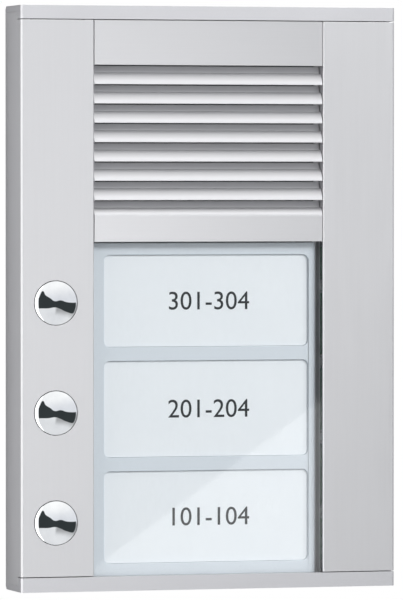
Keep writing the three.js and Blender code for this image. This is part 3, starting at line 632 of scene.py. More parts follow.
def end_cap(node, screws, outward):
    obj = copy_of(node, node + "_piece")
    outer = HOUSING_TOP if outward > 0 else HOUSING_BOTTOM
    seats = bmesh.new()
    for screw in screws:
        x, y, _ = middle(screw)
        seat = [(0, -SEAT["depth"]), (SEAT["neck"], -SEAT["depth"]), (SEAT["radius"], 0)]
        seat += [(SEAT["radius"], 1), (0, 1)]
        lathe(seats, [(r, outward * along) for r, along in seat], (x, y, outer), "z", 48)
    carve(obj, seats)
    soften(obj, 0.14)
    fit(obj, "cap", node)


def countersunk_screw(node, outward):
    """Hexagon socket, cone head and a threaded shank; outward is +1 for a head at the top."""
    x, y, _ = middle(node)
    low, high = limits(node)[2]
    length = high - low
    profile = [(0, 0), (SCREW["head"] - 0.12, 0), (SCREW["head"], -0.1), (SCREW["shank"], -SCREW["cone"])]
    depth = SCREW["cone"] + 0.4
    while depth < length - 1.2:
        profile += [(SCREW["shank"], -depth), (SCREW["core"], -depth - SCREW["pitch"] / 2)]
        depth += SCREW["pitch"]
    profile += [(SCREW["shank"] - 0.4, -length + 0.02), (0, -length + 0.02)]
    at = (x, y, high if outward > 0 else low)
    obj = shaped(node + "_piece", lathe, [(r, outward * along) for r, along in profile], at, "z", 36)
    socket = bmesh.new()
    floor, mouth = at[2] - outward * SOCKET["depth"], at[2] + outward
    prism(socket, circle((x, y), SOCKET["radius"], 6), "z", sorted((floor, mouth)))
    carve(obj, socket)
    smooth(obj, 25)
    fit(obj, "steel", node)


end_cap("top_cap", ("cap_screw_1", "cap_screw_2"), 1)
end_cap("bottom_cap", ("cap_screw_3", "cap_screw_4", "lock_screw"), -1)
for screw in ("cap_screw_1", "cap_screw_2"):
    countersunk_screw(screw, 1)
for screw in ("cap_screw_3", "cap_screw_4", "lock_screw"):
    countersunk_screw(screw, -1)
dress("lock_nut", "steel", 0.2)


# ---- louvre panel
LOUVRE = {"count": 8, "pitch": 7.1, "first": 85.8, "slot": 2.8, "depth": 4.9, "floor_depth": 3.6}
BLADE = {"radius": 9, "tilt": 12}
LAST_BLADE = {"radius": 4, "height": 3.35}
PANEL = {"back": 6.4, "foot": 3, "foot_back": 1.7, "skin": 2.5, "hollow": (89.5, 99), "tongue": 4.9}
CAP_LIP = 5
GAP = 0.3
SOUND_SLOT = {"half": 42.3, "height": 0.3, "front": 4.5}
BOSS = {"x": 36, "z": 27, "radius": 3, "hole": 1.8, "reach": 3.4}


def louvre_section():
    (front, _), (bottom, top) = limits("louvre_panel")[1:]
    seam = HOUSING_TOP - CAP_LIP - GAP
    back = front + PANEL["back"]
    points = [(front, seam)]
    for i in range(LOUVRE["count"]):
        head = LOUVRE["first"] - i * LOUVRE["pitch"]
        floor = head - LOUVRE["slot"]
        if i == 0:
            points.append((front, head))
        points += [(front + LOUVRE["depth"], head), (front + LOUVRE["floor_depth"], floor)]
        last = i == LOUVRE["count"] - 1
        radius, tilt = (LAST_BLADE["radius"], 0) if last else (BLADE["radius"], BLADE["tilt"])
        edge = floor - LAST_BLADE["height"] if last else head - LOUVRE["pitch"]
        lean = math.radians(tilt)
        centre = edge - radius * math.sin(lean)
        start = 180 - math.degrees(math.asin((floor - centre) / radius))
        points += arc((front + radius * math.cos(lean), centre), radius, start, 180 - tilt, 14)
    foot_back = front + PANEL["foot_back"]
    points += [(front, bottom), (foot_back, bottom), (foot_back, bottom + PANEL["foot"])]
    points += [(back, bottom + PANEL["foot"]), (back, PANEL["hollow"][0])]
    points += [(front + PANEL["skin"], z) for z in PANEL["hollow"]]
    points += [(back, PANEL["hollow"][1]), (back, top), (front + PANEL["tongue"], top)]
    return points + [(front + PANEL["tongue"], seam)]


def louvre_panel():
    front = limits("louvre_panel")[1][0]
    back = front + PANEL["back"]
    obj = shaped("louvre_panel_piece", prism, louvre_section(), "x", limits("louvre_panel")[0])
    bosses = bmesh.new()
    for side in (-1, 1):
        boss = circle((side * BOSS["x"], BOSS["z"]), BOSS["radius"])
        prism(bosses, boss, "y", (back - 1, back + BOSS["reach"]))
    carve(obj, bosses, "UNION")
    cuts = bmesh.new()
    for i in range(LOUVRE["count"]):
        head = LOUVRE["first"] - i * LOUVRE["pitch"]
        across = (-SOUND_SLOT["half"], SOUND_SLOT["half"])
        block(cuts, across, (front + SOUND_SLOT["front"], back + 1), (head - SOUND_SLOT["height"], head))
    for side in (-1, 1):
        prism(cuts, circle((side * BOSS["x"], BOSS["z"]), BOSS["hole"], 32), "y", (back - 2, back + 5))
    carve(obj, cuts)
    soften(obj, 0.12)
    fit(obj, "louvre", "louvre_panel")


louvre_panel()
dress("grille_mesh", "gauze", 0.05)


# ---- window, labels and backlight
LABEL_CORNER = 1.7
LABEL_CLEARANCE = 0.1
LABEL_GROWTH = 0.35
NUMBERS = {1: "301-304", 2: "201-204", 3: "101-104"}
NUMBER_HEIGHT = 6.7
NUMBER_SHIFT = 1
INK_THICKNESS = 0.03
LABELS = (1, 2, 3)


# the frame's right edge rounds down into the channel beside the profile
FRAME_ROLL = {"depth": 1.6, "width": 3, "edge": 0.2}


def label_frame():
    x, y, z = limits("label_frame")
    x = (x[0], -OPENING - FRAME_ROLL["edge"])
    z = (HOUSING_BOTTOM + CAP_LIP + 0.2, z[1])
    depth, width = FRAME_ROLL["depth"], FRAME_ROLL["width"]
    roll = [(x[1] - width + width * a, y[0] + depth - depth * b) for a, b in arc((0, 0), 1, 90, 0, 12)]
    section = [(x[0], y[1]), (x[0], y[0])] + roll + [(x[1], y[1])]
    obj = shaped("label_frame_piece", prism, section, "z", z)
    openings = bmesh.new()
    for number in LABELS:
        across, _, up = limits(f"name_label_{number}")
        edge = LABEL_GROWTH + LABEL_CLEARANCE
        grown = [(low - edge, high + edge) for low, high in (across, up)]
        prism(openings, rounded(*grown, LABEL_CORNER + edge), "y", (y[0] - 1, y[1] + 1))
    carve(obj, openings)
    soften(obj, 0.22, 3)
    fit(obj, "frame", "label_frame")


def name_label(number):
    node = f"name_label_{number}"
    x, y, z = limits(node)
    grown = [(low - LABEL_GROWTH, high + LABEL_GROWTH) for low, high in (x, z)]
    obj = shaped(node + "_card", prism, rounded(*grown, LABEL_CORNER + LABEL_GROWTH), "y", y)
    soften(obj, 0.06, 1)
    fit(obj, "label", node)


def label_number(number):
    """A printed range of flat numbers, raised by the thickness of its ink."""
    x, y, z = limits(f"name_label_{number}")
    name = f"label_number_{number}"
    text = bpy.data.curves.new(name, "FONT")
    text.body = NUMBERS[number]
    text.align_x = "CENTER"
    text.align_y = "CENTER"
    text.extrude = INK_THICKNESS / NUMBER_HEIGHT / 2
    text.resolution_u = 6
    typed = placed(name + "_text", text)
    bpy.context.view_layer.update()
    data = bpy.data.meshes.new_from_object(typed.evaluated_get(bpy.context.evaluated_depsgraph_get()))
    bpy.data.objects.remove(typed)
    heights = [vertex.co.y for vertex in data.vertices]
    size = NUMBER_HEIGHT / (max(heights) - min(heights))
    data.transform(Matrix.Translation((0, -(max(heights) + min(heights)) / 2, 0)))
    data.transform(Matrix.Diagonal((size, size, NUMBER_HEIGHT, 1)))
    data.transform(Matrix.Rotation(math.radians(90), 4, "X"))
    at = ((x[0] + x[1]) / 2 + NUMBER_SHIFT, y[0] - INK_THICKNESS / 2, sum(z) / 2)
    data.transform(Matrix.Translation(at))
    data.transform(Matrix.Scale(MM, 4))
    added(placed(name, data), "ink")


dress("label_cover", "clear", 0.18)
label_frame()
for number in LABELS:
    name_label(number)
    label_number(number)
dress("light_guide", "diffuser", 0.2)


# ---- circuit boards
def parts_on(name, look, boxes, round_width=0.08):
    """Small block-shaped parts of one kind, as one piece: (x, y, z) limits each."""
    mesh = bmesh.new()
    for x, y, z in boxes:
        block(mesh, x, y, z)
    obj = to_object(mesh, name)
    soften(obj, round_width, 1)
    return added(obj, look)


def around(center, half):
    return center - half, center + half


def blocks_at(spots, half_width, half_height, y):
    """Equal blocks around (x, z) spots."""
    return [(around(x, half_width), y, around(z, half_height)) for x, z in spots]


def board_sheet(node, y, holes=(), radius=0):
    """The bare board between its two faces, with its screw holes."""
    x, _, z = limits(node)
    obj = shaped(node + "_sheet", block, x, y, z)
    if holes:
        drill(obj, holes, radius, (y[0] - 1, y[1] + 1))
    soften(obj, 0.1, 1)
    fit(obj, "board", node)


LED = {"inner": 40.8, "outer": 42, "front": -16.9, "first": 4, "pitch": 28, "half": 1.5, "lens": 0.3}
LED_PAD = {"x": 41.4, "reach": 2.1, "half_width": 0.6, "half_height": 0.45, "rise": 0.06}
LED_BOARD_THICKNESS = 1.4


def led_board():
    back = limits("led_board")[1][1]
    front = back - LED_BOARD_THICKNESS
    board_sheet("led_board", (front, back))
    spots = [(side, LED["first"] - i * LED["pitch"]) for side in (-1, 1) for i in range(4)]
    across = {side: tuple(sorted((side * LED["inner"], side * LED["outer"]))) for side in (-1, 1)}
    lens = LED["front"] + LED["lens"]
    bodies = [(across[side], (lens, front), around(up, LED["half"])) for side, up in spots]
    parts_on("led_bodies", "white_plastic", bodies)
    lenses = [(across[side], (LED["front"], lens), around(up, LED["half"] - 0.35)) for side, up in spots]
    parts_on("led_lenses", "led", lenses, 0.1)
    pads = [(side * LED_PAD["x"], up + end * LED_PAD["reach"]) for side, up in spots for end in (-1, 1)]
    layer = (front - LED_PAD["rise"], front)
    parts_on("led_pads", "tin", blocks_at(pads, LED_PAD["half_width"], LED_PAD["half_height"], layer), 0.02)


# chips as (x, z, half width), and small parts as (x, z)
CHIPS = ((-22, -10, 6), (22, -4, 4))
CHIP_RISE = 1.4
LEG = {"pitch": 0.8, "reach": 0.5, "half_length": 0.55, "half_width": 0.16, "rise": 0.3}
PASSIVES = ((-30, 6), (-26, 6), (-22, 6), (8, 8), (12, 8), (16, 8), (-8, -4), (-8, -8), (-8, -12),
            (30, -12), (30, -16), (4, -30), (8, -30), (12, -30), (-30, -44), (-26, -44), (26, -46),
            (-12, -56), (-8, -56), (30, -58), (20, -56), (-34, -66), (2, -62))
BOARD_POST = {"radius": 1.5, "heights": (12, -92)}


def chip_legs(y):
    legs = []
    for cx, cz, half in CHIPS:
        count = int(half * 2 / LEG["pitch"]) - 1
        for i in range(count):
            run = (i - (count - 1) / 2) * LEG["pitch"]
            for side in (-1, 1):
                out = side * (half + LEG["reach"])
                legs += blocks_at([(cx + out, cz + run)], LEG["half_length"], LEG["half_width"], y)
                legs += blocks_at([(cx + run, cz + out)], LEG["half_width"], LEG["half_length"], y)
    return legs


def main_board():
    front, chip_top = limits("main_board")[1]
    back = chip_top - CHIP_RISE
    posts = [(side * BOSS["x"], z) for side in (-1, 1) for z in BOARD_POST["heights"]]
    board_sheet("main_board", (front, back), posts, BOARD_POST["radius"])
    parts_on("main_board_chips", "chip",
             [(around(cx, half), (back + 0.1, back + CHIP_RISE), around(cz, half)) for cx, cz, half in CHIPS])
    parts_on("main_board_chip_legs", "tin", chip_legs((back, back + LEG["rise"])), 0.03)
    resistors = blocks_at(PASSIVES[::2], 0.7, 0.55, (back, back + 0.5))
    parts_on("main_board_resistors", "chip", resistors, 0.04)
    capacitors = blocks_at(PASSIVES[1::2], 0.7, 0.6, (back, back + 0.8))
    parts_on("main_board_capacitors", "ceramic", capacitors, 0.05)
    ends = [(x + side * 0.9, z) for x, z in PASSIVES for side in (-1, 1)]
    parts_on("main_board_solder_ends", "tin", blocks_at(ends, 0.25, 0.6, (back, back + 0.52)), 0.05)


BUTTON_PARTS = ((-52, 4), (-52, -14), (-52, -54), (-52, -70))
BOARD_SCREW_HOLE = 1.3
SWITCH_PIN = (3.2, 3.4)  # from a switch's middle, in x and z
SOLDER_DOME = [(0, 0), (0.75, 0), (0.6, 0.25), (0.32, 0.62), (0.25, 1.0), (0, 1.05)]


def button_board():
    front, back = limits("button_board")[1]
    screws = [spot(f"button_board_screw_{number}") for number in (1, 2)]
    board_sheet("button_board", (front, back), screws, BOARD_SCREW_HOLE)
    joints = bmesh.new()
    for number in BUTTONS:
        x, z = spot(f"switch_housing_{number}")
        for side in (-1, 1):
            for end in (-1, 1):
                lathe(joints, SOLDER_DOME, (x + side * SWITCH_PIN[0], back, z + end * SWITCH_PIN[1]), "y", 14)
    obj = to_object(joints, "button_board_solder")
    smooth(obj, 60)
    added(obj, "tin")
    capacitors = blocks_at(BUTTON_PARTS, 0.6, 0.55, (back, back + 0.7))
    parts_on("button_board_capacitors", "ceramic", capacitors, 0.05)


led_board()
main_board()
button_board()
dress("button_ribbon", "ribbon", 0.05, 1)

# ---- terminals, capacitor and leads
POLES = 7
POLE_PITCH = 5
WIRE_SCREW = {"radius": 1.42, "sunk": 0.55, "slot": 0.28, "up": 3.4}


def wire_screws():
    _, (_, back), (bottom, _) = limits("terminal_block")
    face = back - WIRE_SCREW["sunk"]
    mesh = bmesh.new()
    slots = bmesh.new()
    for i in range(POLES):
        x, z = (i - (POLES - 1) / 2) * POLE_PITCH, bottom + WIRE_SCREW["up"]
        radius, foot = WIRE_SCREW["radius"], face - 0.5
        profile = [(0, face), (radius - 0.15, face), (radius, face - 0.15), (radius, foot), (0, foot)]
        lathe(mesh, profile, (x, 0, z), "y", 28)
        block(slots, around(x, radius + 0.2), (face - 0.3, face + 1), around(z, WIRE_SCREW["slot"]))
    obj = to_object(mesh, "terminal_wire_screws")
    carve(obj, slots)
    smooth(obj)
    added(obj, "steel")


def storage_capacitor():
    x, y, z = limits("storage_capacitor")
    radius = (y[1] - y[0]) / 2
    at = (sum(y) / 2, sum(z) / 2)
    length = x[1] - x[0]
    groove = length - 1.6
    profile = [(0, 0), (radius - 0.3, 0), (radius, 0.3), (radius, groove), (radius - 0.25, groove + 0.25),
               (radius - 0.25, groove + 0.55), (radius, groove + 0.8), (radius, length - 0.3),
               (radius - 0.3, length), (0, length)]
    mesh = bmesh.new()
    lathe(mesh, profile, (0, 0, 0), "z", 40)
    mesh.transform(Matrix(((0, 0, 1, x[0]), (1, 0, 0, at[0]), (0, 1, 0, at[1]), (0, 0, 0, 1))))
    obj = to_object(mesh, "storage_capacitor_can")
    smooth(obj)
    fit(obj, "sleeve", "storage_capacitor")


LEAD_ROUTE = ((12, -6.4, 6), (12.3, -6.2, 18), (15, -5.6, 30), (14.5, -6, 42), (9.6, -7.2, 51.8))
LEAD = {"core": 0.36, "lay": 0.37, "turns": 7, "steps": 180}


def along_route(points, t):
    """A point on the smooth curve through the route's points."""
    place = t * (len(points) - 1)
    i = min(int(place), len(points) - 2)
    f = place - i
    last = len(points) - 1
    a, b, c, d = (Vector(points[min(max(k, 0), last)]) for k in (i - 1, i, i + 1, i + 2))
    bend = (2 * a - 5 * b + 4 * c - d) * f * f
    return 0.5 * (2 * b + (c - a) * f + bend + (3 * b - a - 3 * c + d) * f ** 3)


def speaker_lead():
    """Two cores twisted together, each a piece of its own colour."""
    steps = LEAD["steps"]
    middle_line = [along_route(LEAD_ROUTE, i / steps) for i in range(steps + 1)]
    for half, look in enumerate(("red_core", "black_core")):
        path = []
        for i, point in enumerate(middle_line):
            turn = 2 * math.pi * LEAD["turns"] * i / steps + math.pi * half
            offset = Vector((math.cos(turn), math.sin(turn), 0)) * LEAD["lay"]
            path.append(point + offset)
        obj = shaped("speaker_lead_" + look.removesuffix("_core"), tube, path, LEAD["core"])
        smooth(obj, 50)
        fit(obj, look, "speaker_lead")


dress("terminal_block", "terminal", 0.2)
wire_screws()
storage_capacitor()
speaker_lead()

# ---- chassis and pan-head screws
PAN = {"head": 1.4, "thread": 0.5, "slot": 0.3}


def pan_screw(node):
    """A slotted pan-head screw along Y, its head towards the wall."""
    _, (front, back), z = limits(node)
    cx, cz = spot(node)
    head = (z[1] - z[0]) / 2
    seat = back - PAN["head"]
    shank = head * 0.5
    profile = [(0, front), (shank - 0.3, front), (shank, front + 0.4)]
    along = front + 0.6
    while along < seat - 0.5:
        profile += [(shank, along), (shank - 0.16, along + PAN["thread"] / 2)]
        along += PAN["thread"]
    profile += [(shank, seat), (head, seat), (head, seat + 0.7), (head - 0.25, seat + 1.15)]
    profile += [(head - 0.8, back), (0, back)]
    obj = shaped(node + "_piece", lathe, profile, (cx, 0, cz), "y", 36)
    slot = bmesh.new()
    block(slot, around(cx, head + 1), (back - 0.55, back + 1), around(cz, PAN["slot"]))
    carve(obj, slot)
    smooth(obj)
    fit(obj, "steel", node)


dress("inner_chassis", "grey_plastic", 0.2)
for kind in ("panel_screw", "board_screw", "button_board_screw"):
    for number in (1, 2):
        pan_screw(f"{kind}_{number}")

# ---- loudspeaker and microphone
# the windows between the basket's ribs: how many, their radii and half their span in degrees
WINDOW = {"count": 6, "outer": 20, "inner": 14.4, "outer_half": 20, "inner_half": 18}


def speaker_basket():
    cx, cz = spot("speaker_basket")
    profile = [(21, -14.9), (25, -14.9), (25, -13.9), (22, -13.9), (13, -8.4), (6, -8.4), (6, -9.2),
               (12.4, -9.2), (21, -14.5)]
    obj = shaped("speaker_basket_frame", lathe, profile, (cx, 0, cz), "y", 96, True)
    windows = bmesh.new()
    for i in range(WINDOW["count"]):
        turn = 360 * i / WINDOW["count"]
        outer_half, inner_half = WINDOW["outer_half"], WINDOW["inner_half"]
        outer = arc((cx, cz), WINDOW["outer"], turn - outer_half, turn + outer_half, 10)
        inner = arc((cx, cz), WINDOW["inner"], turn + inner_half, turn - inner_half, 10)
        prism(windows, outer + inner, "y", (-16, -7))
    carve(obj, windows)
    soften(obj, 0.1, 1, 35)
    fit(obj, "galvanised", "speaker_basket")


GASKET = [(22.5, -16.2), (25, -16.2), (25, -15.2), (22.5, -15.2)]
turned("speaker_gasket", "speaker_gasket_ring", "rubber", GASKET, 96, True)
speaker_basket()
CONE = [(0, -12.6), (1.4, -12.5), (2.6, -12.3), (3.8, -11.9), (4.6, -11.4), (9, -12.4), (13, -13.3),
        (15.6, -13.85), (16.2, -14.25), (16.9, -14.3), (17.4, -13.95), (17.9, -13.9), (18.4, -14.25),
        (18.9, -14.3), (18.9, -13.9), (18, -13.6), (15.6, -13.5), (9, -12), (5.4, -11), (5.4, -7.4),
        (4.8, -7.4), (4.8, -10.9), (2.6, -11.8), (0, -12.1)]
turned("speaker_cone", "speaker_cone_paper", "paper", CONE, 96)
MAGNET = [(0, -8.1), (4.4, -8.1), (4.4, -5.6), (5.8, -5.6), (5.8, -8.1), (10, -8.1), (10.2, -7.9),
          (10.2, -7.5), (11, -7.4), (11, -4.9), (10.4, -4.7), (10.4, -4.4), (10.2, -4.2), (0, -4.2)]
turned("speaker_magnet", "speaker_magnet_pot", "magnet", MAGNET, 96)
BOOT = [(3.3, -16.2), (4.5, -16.2), (4.8, -15.9), (4.8, -11.5), (4.5, -11.2), (1, -11.2), (1, -12.8),
        (3.3, -12.8)]
turned("microphone_boot", "microphone_boot_sleeve", "rubber", BOOT, 48, True)
CAPSULE = [(0, -15.7), (0.9, -15.7), (1.0, -15.9), (2.7, -15.9), (3, -15.6), (3, -13.4), (2.8, -13.2),
           (0, -13.2)]
turned("microphone_capsule", "microphone_capsule_can", "steel", CAPSULE, 48)

# ---- push-buttons
DOME = {"rise": 2.6, "rings": 20, "edge": 0.25}
SPRING = {"coil": 3.2, "wire": 0.28, "turns": 5.5, "dead": 0.75, "steps": 220}
BUTTON_CLEARANCE = 0.2
CORD = 0.275  # half the width of a seal ring's cord


def button_cap(number):
    node = f"button_cap_{number}"
    x, (crown, back), z = limits(node)
    flange = (x[1] - x[0]) / 2
    radius = BUTTON_HOLE - BUTTON_CLEARANCE
    rim = crown + DOME["rise"]
    flange_front = back - 1
    ball = (radius ** 2 + DOME["rise"] ** 2) / (2 * DOME["rise"])
    reach = math.asin(radius / ball)
    profile = []
    for i in range(DOME["rings"]):
        turn = reach * i / DOME["rings"] * 0.985
        profile.append((ball * math.sin(turn), crown + ball * (1 - math.cos(turn))))
    edge = DOME["edge"]
    profile += [(radius - 0.05, rim + 0.02), (radius, rim + edge), (radius, flange_front)]
    profile += [(flange, flange_front), (flange, back), (0, back)]
    turned(node, f"{node}_dome", "chrome", profile, 128)


def button_stem(number):
    node = f"button_stem_{number}"
    front, end = limits(node)[1]
    profile = [(0, front), (3.7, front), (3.9, front + 0.2), (3.9, front + 0.8), (3.7, front + 1),
               (2.3, front + 1), (2, front + 1.3), (2, end - 0.3), (1.7, end), (0, end)]
    turned(node, f"{node}_pin", "black_plastic", profile, 48)


def switch_plunger(number):
    node = f"switch_plunger_{number}"
    front, end = limits(node)[1]
    profile = [(0, front), (1.5, front), (1.8, front + 0.3), (1.8, end), (0, end)]
    turned(node, f"{node}_pin", "white_plastic", profile, 40)


def button_seal(number):
    """A round cord ring in the gap behind the profile's skin."""
    node = f"button_seal_{number}"
    x, (front, back), _ = limits(node)
    radius = (x[1] - x[0]) / 2 - CORD
    half = (back - front) / 2
    profile = [(radius + CORD * a, (front + back) / 2 + half * b) for a, b in circle((0, 0), 1, 14)]
    turned(node, f"{node}_cord", "rubber", profile, 96, True)


def return_spring(number):
    """An open helix whose ends lie flat."""
    node = f"return_spring_{number}"
    cx, cz = spot(node)
    front, back = limits(node)[1]
    wire, turns, dead = SPRING["wire"], SPRING["turns"], SPRING["dead"]
    start, end = front + wire, back - wire
    path = []
    for i in range(SPRING["steps"] + 1):
        turn = turns * i / SPRING["steps"]
        rise = min(max((turn - dead) / (turns - 2 * dead), 0), 1)
        lead = wire * 2.02 * min(turn, dead) + wire * 2.02 * max(turn - (turns - dead), 0)
        span = end - start - wire * 4.04 * dead
        angle = 2 * math.pi * turn
        across, up = SPRING["coil"] * math.cos(angle), SPRING["coil"] * math.sin(angle)
        path.append((cx + across, start + lead + span * rise, cz + up))
    obj = shaped(f"{node}_coil", tube, path, wire, 12)
    smooth(obj, 60)
    fit(obj, "spring", node)
    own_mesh(obj)


for number in BUTTONS:
    button_cap(number)
    button_stem(number)
    switch_plunger(number)
    button_seal(number)
    return_spring(number)
    dress(f"switch_housing_{number}", "black_plastic", 0.2)
dress("button_carrier", "black_plastic", 0.15)


# ---- studio
FLOOR_DROP = 450
FLOOR_RADIUS = 2600
# the studio's dark gap between the upper and lower white: its edges as (azimuth, elevation) in degrees
GAP_TOP = ((-60, 12), (-45, 14), (-35, 36), (-24, 24), (-8, 14), (6, 5), (24, 7), (42, 2), (60, 0), (88, 0))
GAP_FLOOR = ((-60, -17), (-38, -17), (-15, -17), (8, -14), (24, -18), (46, -24), (80, -23), (88, -12))
GAP_SIDES = (-45, 84)
LIGHT = {"top": 1.05, "haze": 0.82, "low": 0.84, "left": 2.1, "rear": 0.3, "gap": 0.045, "shade": 0.42}
MATT_SHARE = 0.45  # how much of the room's light falls on matt surfaces
# soft lamps: azimuth, elevation, distance, width and height in millimetres, and watts
LAMPS = {
    "key": {"azimuth": 43, "elevation": 31, "distance": 2600, "size": (1500, 420), "power": 49},
    "fill": {"azimuth": 4.5, "elevation": -6, "distance": 700, "size": (120, 360), "power": 0.45},
    "bounce": {"azimuth": 10, "elevation": 2, "distance": 1600, "size": (400, 900), "power": 1.6},
    "crest": {"azimuth": 12, "elevation": 34, "distance": 2600, "size": (1500, 600), "power": 6},
}


def studio():
    world = bpy.data.worlds.new("studio")
    bpy.context.scene.world = world
    world.use_nodes = True
    world.node_tree.nodes.clear()
    sky = Nodes(world.node_tree)

    def minus(one, two):
        return sky.math("SUBTRACT", one, two)

    def times(one, two):
        return sky.math("MULTIPLY", one, two)

    def step(value, start, end):
        """0 below start, 1 above end, smooth between."""
        inputs = {"Value": value, "From Min": start, "From Max": end}
        return sky.add("ShaderNodeMapRange", inputs, interpolation_type="SMOOTHSTEP")["Result"]

    def edge_curve(points):
        """The elevation of an edge at each azimuth, both mapped to 0 to 1 for the curve."""
        made = sky.tree.nodes.new("ShaderNodeFloatCurve")
        curve = made.mapping.curves[0]
        spots = [((a + 180) / 360, (e + 90) / 180) for a, e in points]
        curve.points[0].location = spots[0]
        curve.points[1].location = spots[-1]
        for place in spots[1:-1]:
            curve.points.new(*place)
        made.mapping.update()
        sky.link(sky.math("DIVIDE", sky.math("ADD", azimuth, 180.0), 360.0), made.inputs["Value"])
        return minus(times(made.outputs["Value"], 180.0), 90.0)

    def light(name, tint=(1, 1, 1)):
        return tuple(LIGHT[name] * part for part in tint) + (1,)

    way = sky.split(sky.add("ShaderNodeTexCoord")["Generated"])
    azimuth = sky.math("DEGREES", sky.math("ARCTAN2", way["X"], times(way["Y"], -1.0)))
    elevation = sky.math("DEGREES", sky.math("ARCSINE", way["Z"]))
    below_top = step(minus(edge_curve(GAP_TOP), elevation), -1, 1)
    above_floor = step(minus(elevation, edge_curve(GAP_FLOOR)), -1, 1)
    from_left, to_right = (step(azimuth, side - 1, side + 1) for side in GAP_SIDES)
    gap = times(times(below_top, above_floor), times(from_left, minus(1.0, to_right)))
    upper = sky.mix(step(elevation, 5, 50), light("haze", (0.95, 0.97, 1.02)), light("top"))
    shade = times(step(azimuth, 5, 15), step(elevation, -42, -20))
    lower = sky.mix(shade, light("low", (0.97, 0.98, 1)), light("shade", (0.97, 0.98, 1)))
    room = sky.mix(step(elevation, -8, 0), lower, upper)
    left = times(step(times(azimuth, -1.0), 44, 50), step(sky.math("ADD", azimuth, 180.0), 70, 95))
    room = sky.mix(left, room, light("left"))
    behind = step(sky.math("ABSOLUTE", azimuth), 95, 125)
    level = minus(1.0, step(sky.math("ABSOLUTE", elevation), 45, 80))
    room = sky.mix(times(behind, level), room, light("rear"))
    room = sky.mix(gap, room, light("gap", (0.8, 0.95, 1)))

    # the camera sees plain white behind the object, and matt surfaces get a share of the room's light
    path = sky.add("ShaderNodeLightPath")
    share = minus(1.0, times(path["Is Diffuse Ray"], 1 - MATT_SHARE))
    lit = sky.add("ShaderNodeBackground", {"Color": room, "Strength": share})["Background"]
    backdrop = sky.add("ShaderNodeBackground", {"Color": (1, 1, 1, 1)})["Background"]
    seen = sky.add("ShaderNodeMixShader", {0: path["Is Camera Ray"], 1: lit, 2: backdrop})["Shader"]
    sky.add("ShaderNodeOutputWorld", {"Surface": seen})


def staged(name, corners, material):
    """A flat sheet of the studio that the camera does not see."""
    mesh = bmesh.new()
    mesh.faces.new([mesh.verts.new(corner) for corner in corners])
    obj = to_object(mesh, name)
    obj.data.materials.append(material)
    obj.visible_camera = False
    return obj


def floor():
    height = HOUSING_BOTTOM - FLOOR_DROP
    corners = [(x, y, height) for x, y in circle((0, 0), FLOOR_RADIUS, 96)]
    sheet = staged("studio_floor", corners, grained("pale_floor", "f4f4f3", 0.8, 300, 0.01, 0.02).material)
    sheet.visible_glossy = False


def receivers(name, chosen):
    """A collection of the pieces that a lamp or a card acts on."""
    group = bpy.data.collections.new(name)
    for obj in bpy.context.scene.objects:
        if obj.type == "MESH" and obj.data.materials and chosen(obj.data.materials[0]):
            group.objects.link(obj)
    return group


def lamp(name, size, power, group):
    """A soft lamp that lights one collection of pieces and is hidden from the camera."""
    data = bpy.data.lights.new(name, "AREA")
    data.shape = "RECTANGLE"
    data.size, data.size_y = (length * MM for length in size)
    data.energy = power
    obj = placed(name, data)
    obj.visible_camera = False
    obj.light_linking.receiver_collection = group
    return obj


# where the edge of the glare lamp shows in the cover: (x, z) at its left and right ends
GLARE_EDGE = ((-43, -98), (43, -38.5))
GLARE = {"away": 450, "reach": 1.6, "drop": 260, "light": 2.4}


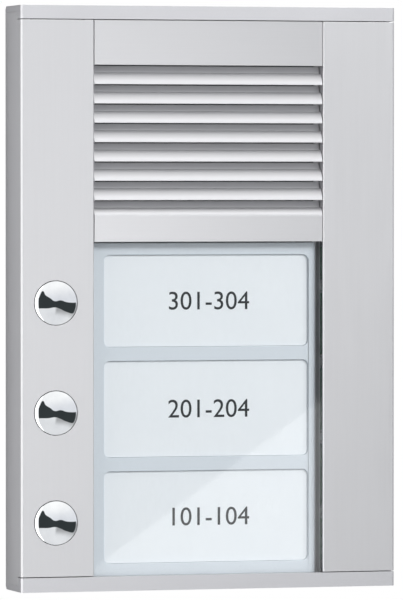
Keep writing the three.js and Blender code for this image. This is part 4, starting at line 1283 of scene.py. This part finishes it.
def cover_glare():
    """A lamp in front of the panel that only the clear cover mirrors, as a diagonal sheen."""
    sheet = limits("label_cover")[1][0]
    eye = Vector(CAMERA_TARGET) + direction(CAMERA["azimuth"], CAMERA["elevation"]) * CAMERA["distance"]
    mirrored = Vector((eye.x, 2 * sheet - eye.y, eye.z))
    ends, ways = [], []
    for x, z in GLARE_EDGE:
        shown = Vector((x, sheet, z))
        ways.append((shown - mirrored).normalized())
        ends.append(shown + ways[-1] * GLARE["away"])
    run = ends[1] - ends[0]
    along = run.normalized()
    size = (run.length * GLARE["reach"], GLARE["drop"])
    back = ways[0] + ways[1]
    back = (back - along * back.dot(along)).normalized()
    up = back.cross(along)
    centre = (ends[0] + ends[1]) / 2 - up * GLARE["drop"] / 2
    power = GLARE["light"] * math.pi * size[0] * size[1] * MM ** 2
    cover = receivers("mirrors_glare", lambda used: used == looks["clear"].material)
    glare = lamp("glare_lamp", size, power, cover)
    glare.matrix_world = Matrix.Translation(centre * MM) @ Matrix((along, up, back)).transposed().to_4x4()


# the last two are the width in millimetres of the painted shadow beside the panel and the strength of the
# card's painted glow
WALL_CARD = {"width": 60, "behind": 1.5, "clear": 1, "painted_shade": 12, "painted_glow": 0.26}


def wall_card():
    """A strip of grey wall beside the panel, for the soft shade along its left flank; its colour carries a
    painted shadow next to the panel, and it glows with painted light.
    """
    inner = -HOUSING_X - WALL_CARD["clear"]
    outer = inner - WALL_CARD["width"]
    corners = [(x, WALL_CARD["behind"], z) for x, z in
               ((inner, HOUSING_BOTTOM), (outer, HOUSING_BOTTOM), (outer, HOUSING_TOP), (inner, HOUSING_TOP))]
    wall = grained("grey_wall_painted_shade_and_glow", "e4e4e6", 0.8, 400, 0.02, 0.02)
    across = wall.split(wall.place)["X"]
    # painted shade: the colour darkens to grey a6a6a8 towards the panel, a painted contact shadow
    lit = wall.spread(across, 0.0, 1.0, (inner - 1) * MM, (inner - WALL_CARD["painted_shade"]) * MM)
    painted = wall.shader.inputs["Base Color"].links[0].from_socket
    painted_shade = wall.mix(lit, colour("a6a6a8"), painted)
    # painted glow: the card also emits its painted colour, though it is no lamp
    for socket in ("Base Color", "Emission Color"):
        wall.link(painted_shade, wall.shader.inputs[socket])
    wall.shader.inputs["Emission Strength"].default_value = WALL_CARD["painted_glow"]
    staged("wall_card", corners, wall.material)


MIRRORS = {looks["chrome"].material, looks["clear"].material}
LAMPLIT = {
    "key": receivers("key_lit", lambda used: used not in MIRRORS | {looks["louvre"].material}),
    "fill": receivers("fill_lit", lambda used: used not in MIRRORS),
    "bounce": receivers("bounce_lit", lambda used: used == looks["louvre"].material),
}
LAMPLIT["crest"] = LAMPLIT["bounce"]
studio()
floor()
cover_glare()
wall_card()
for name, setting in LAMPS.items():
    stand(lamp(f"{name}_lamp", setting["size"], setting["power"], LAMPLIT[name]), setting)
bpy.context.scene.view_settings.view_transform = "Standard"
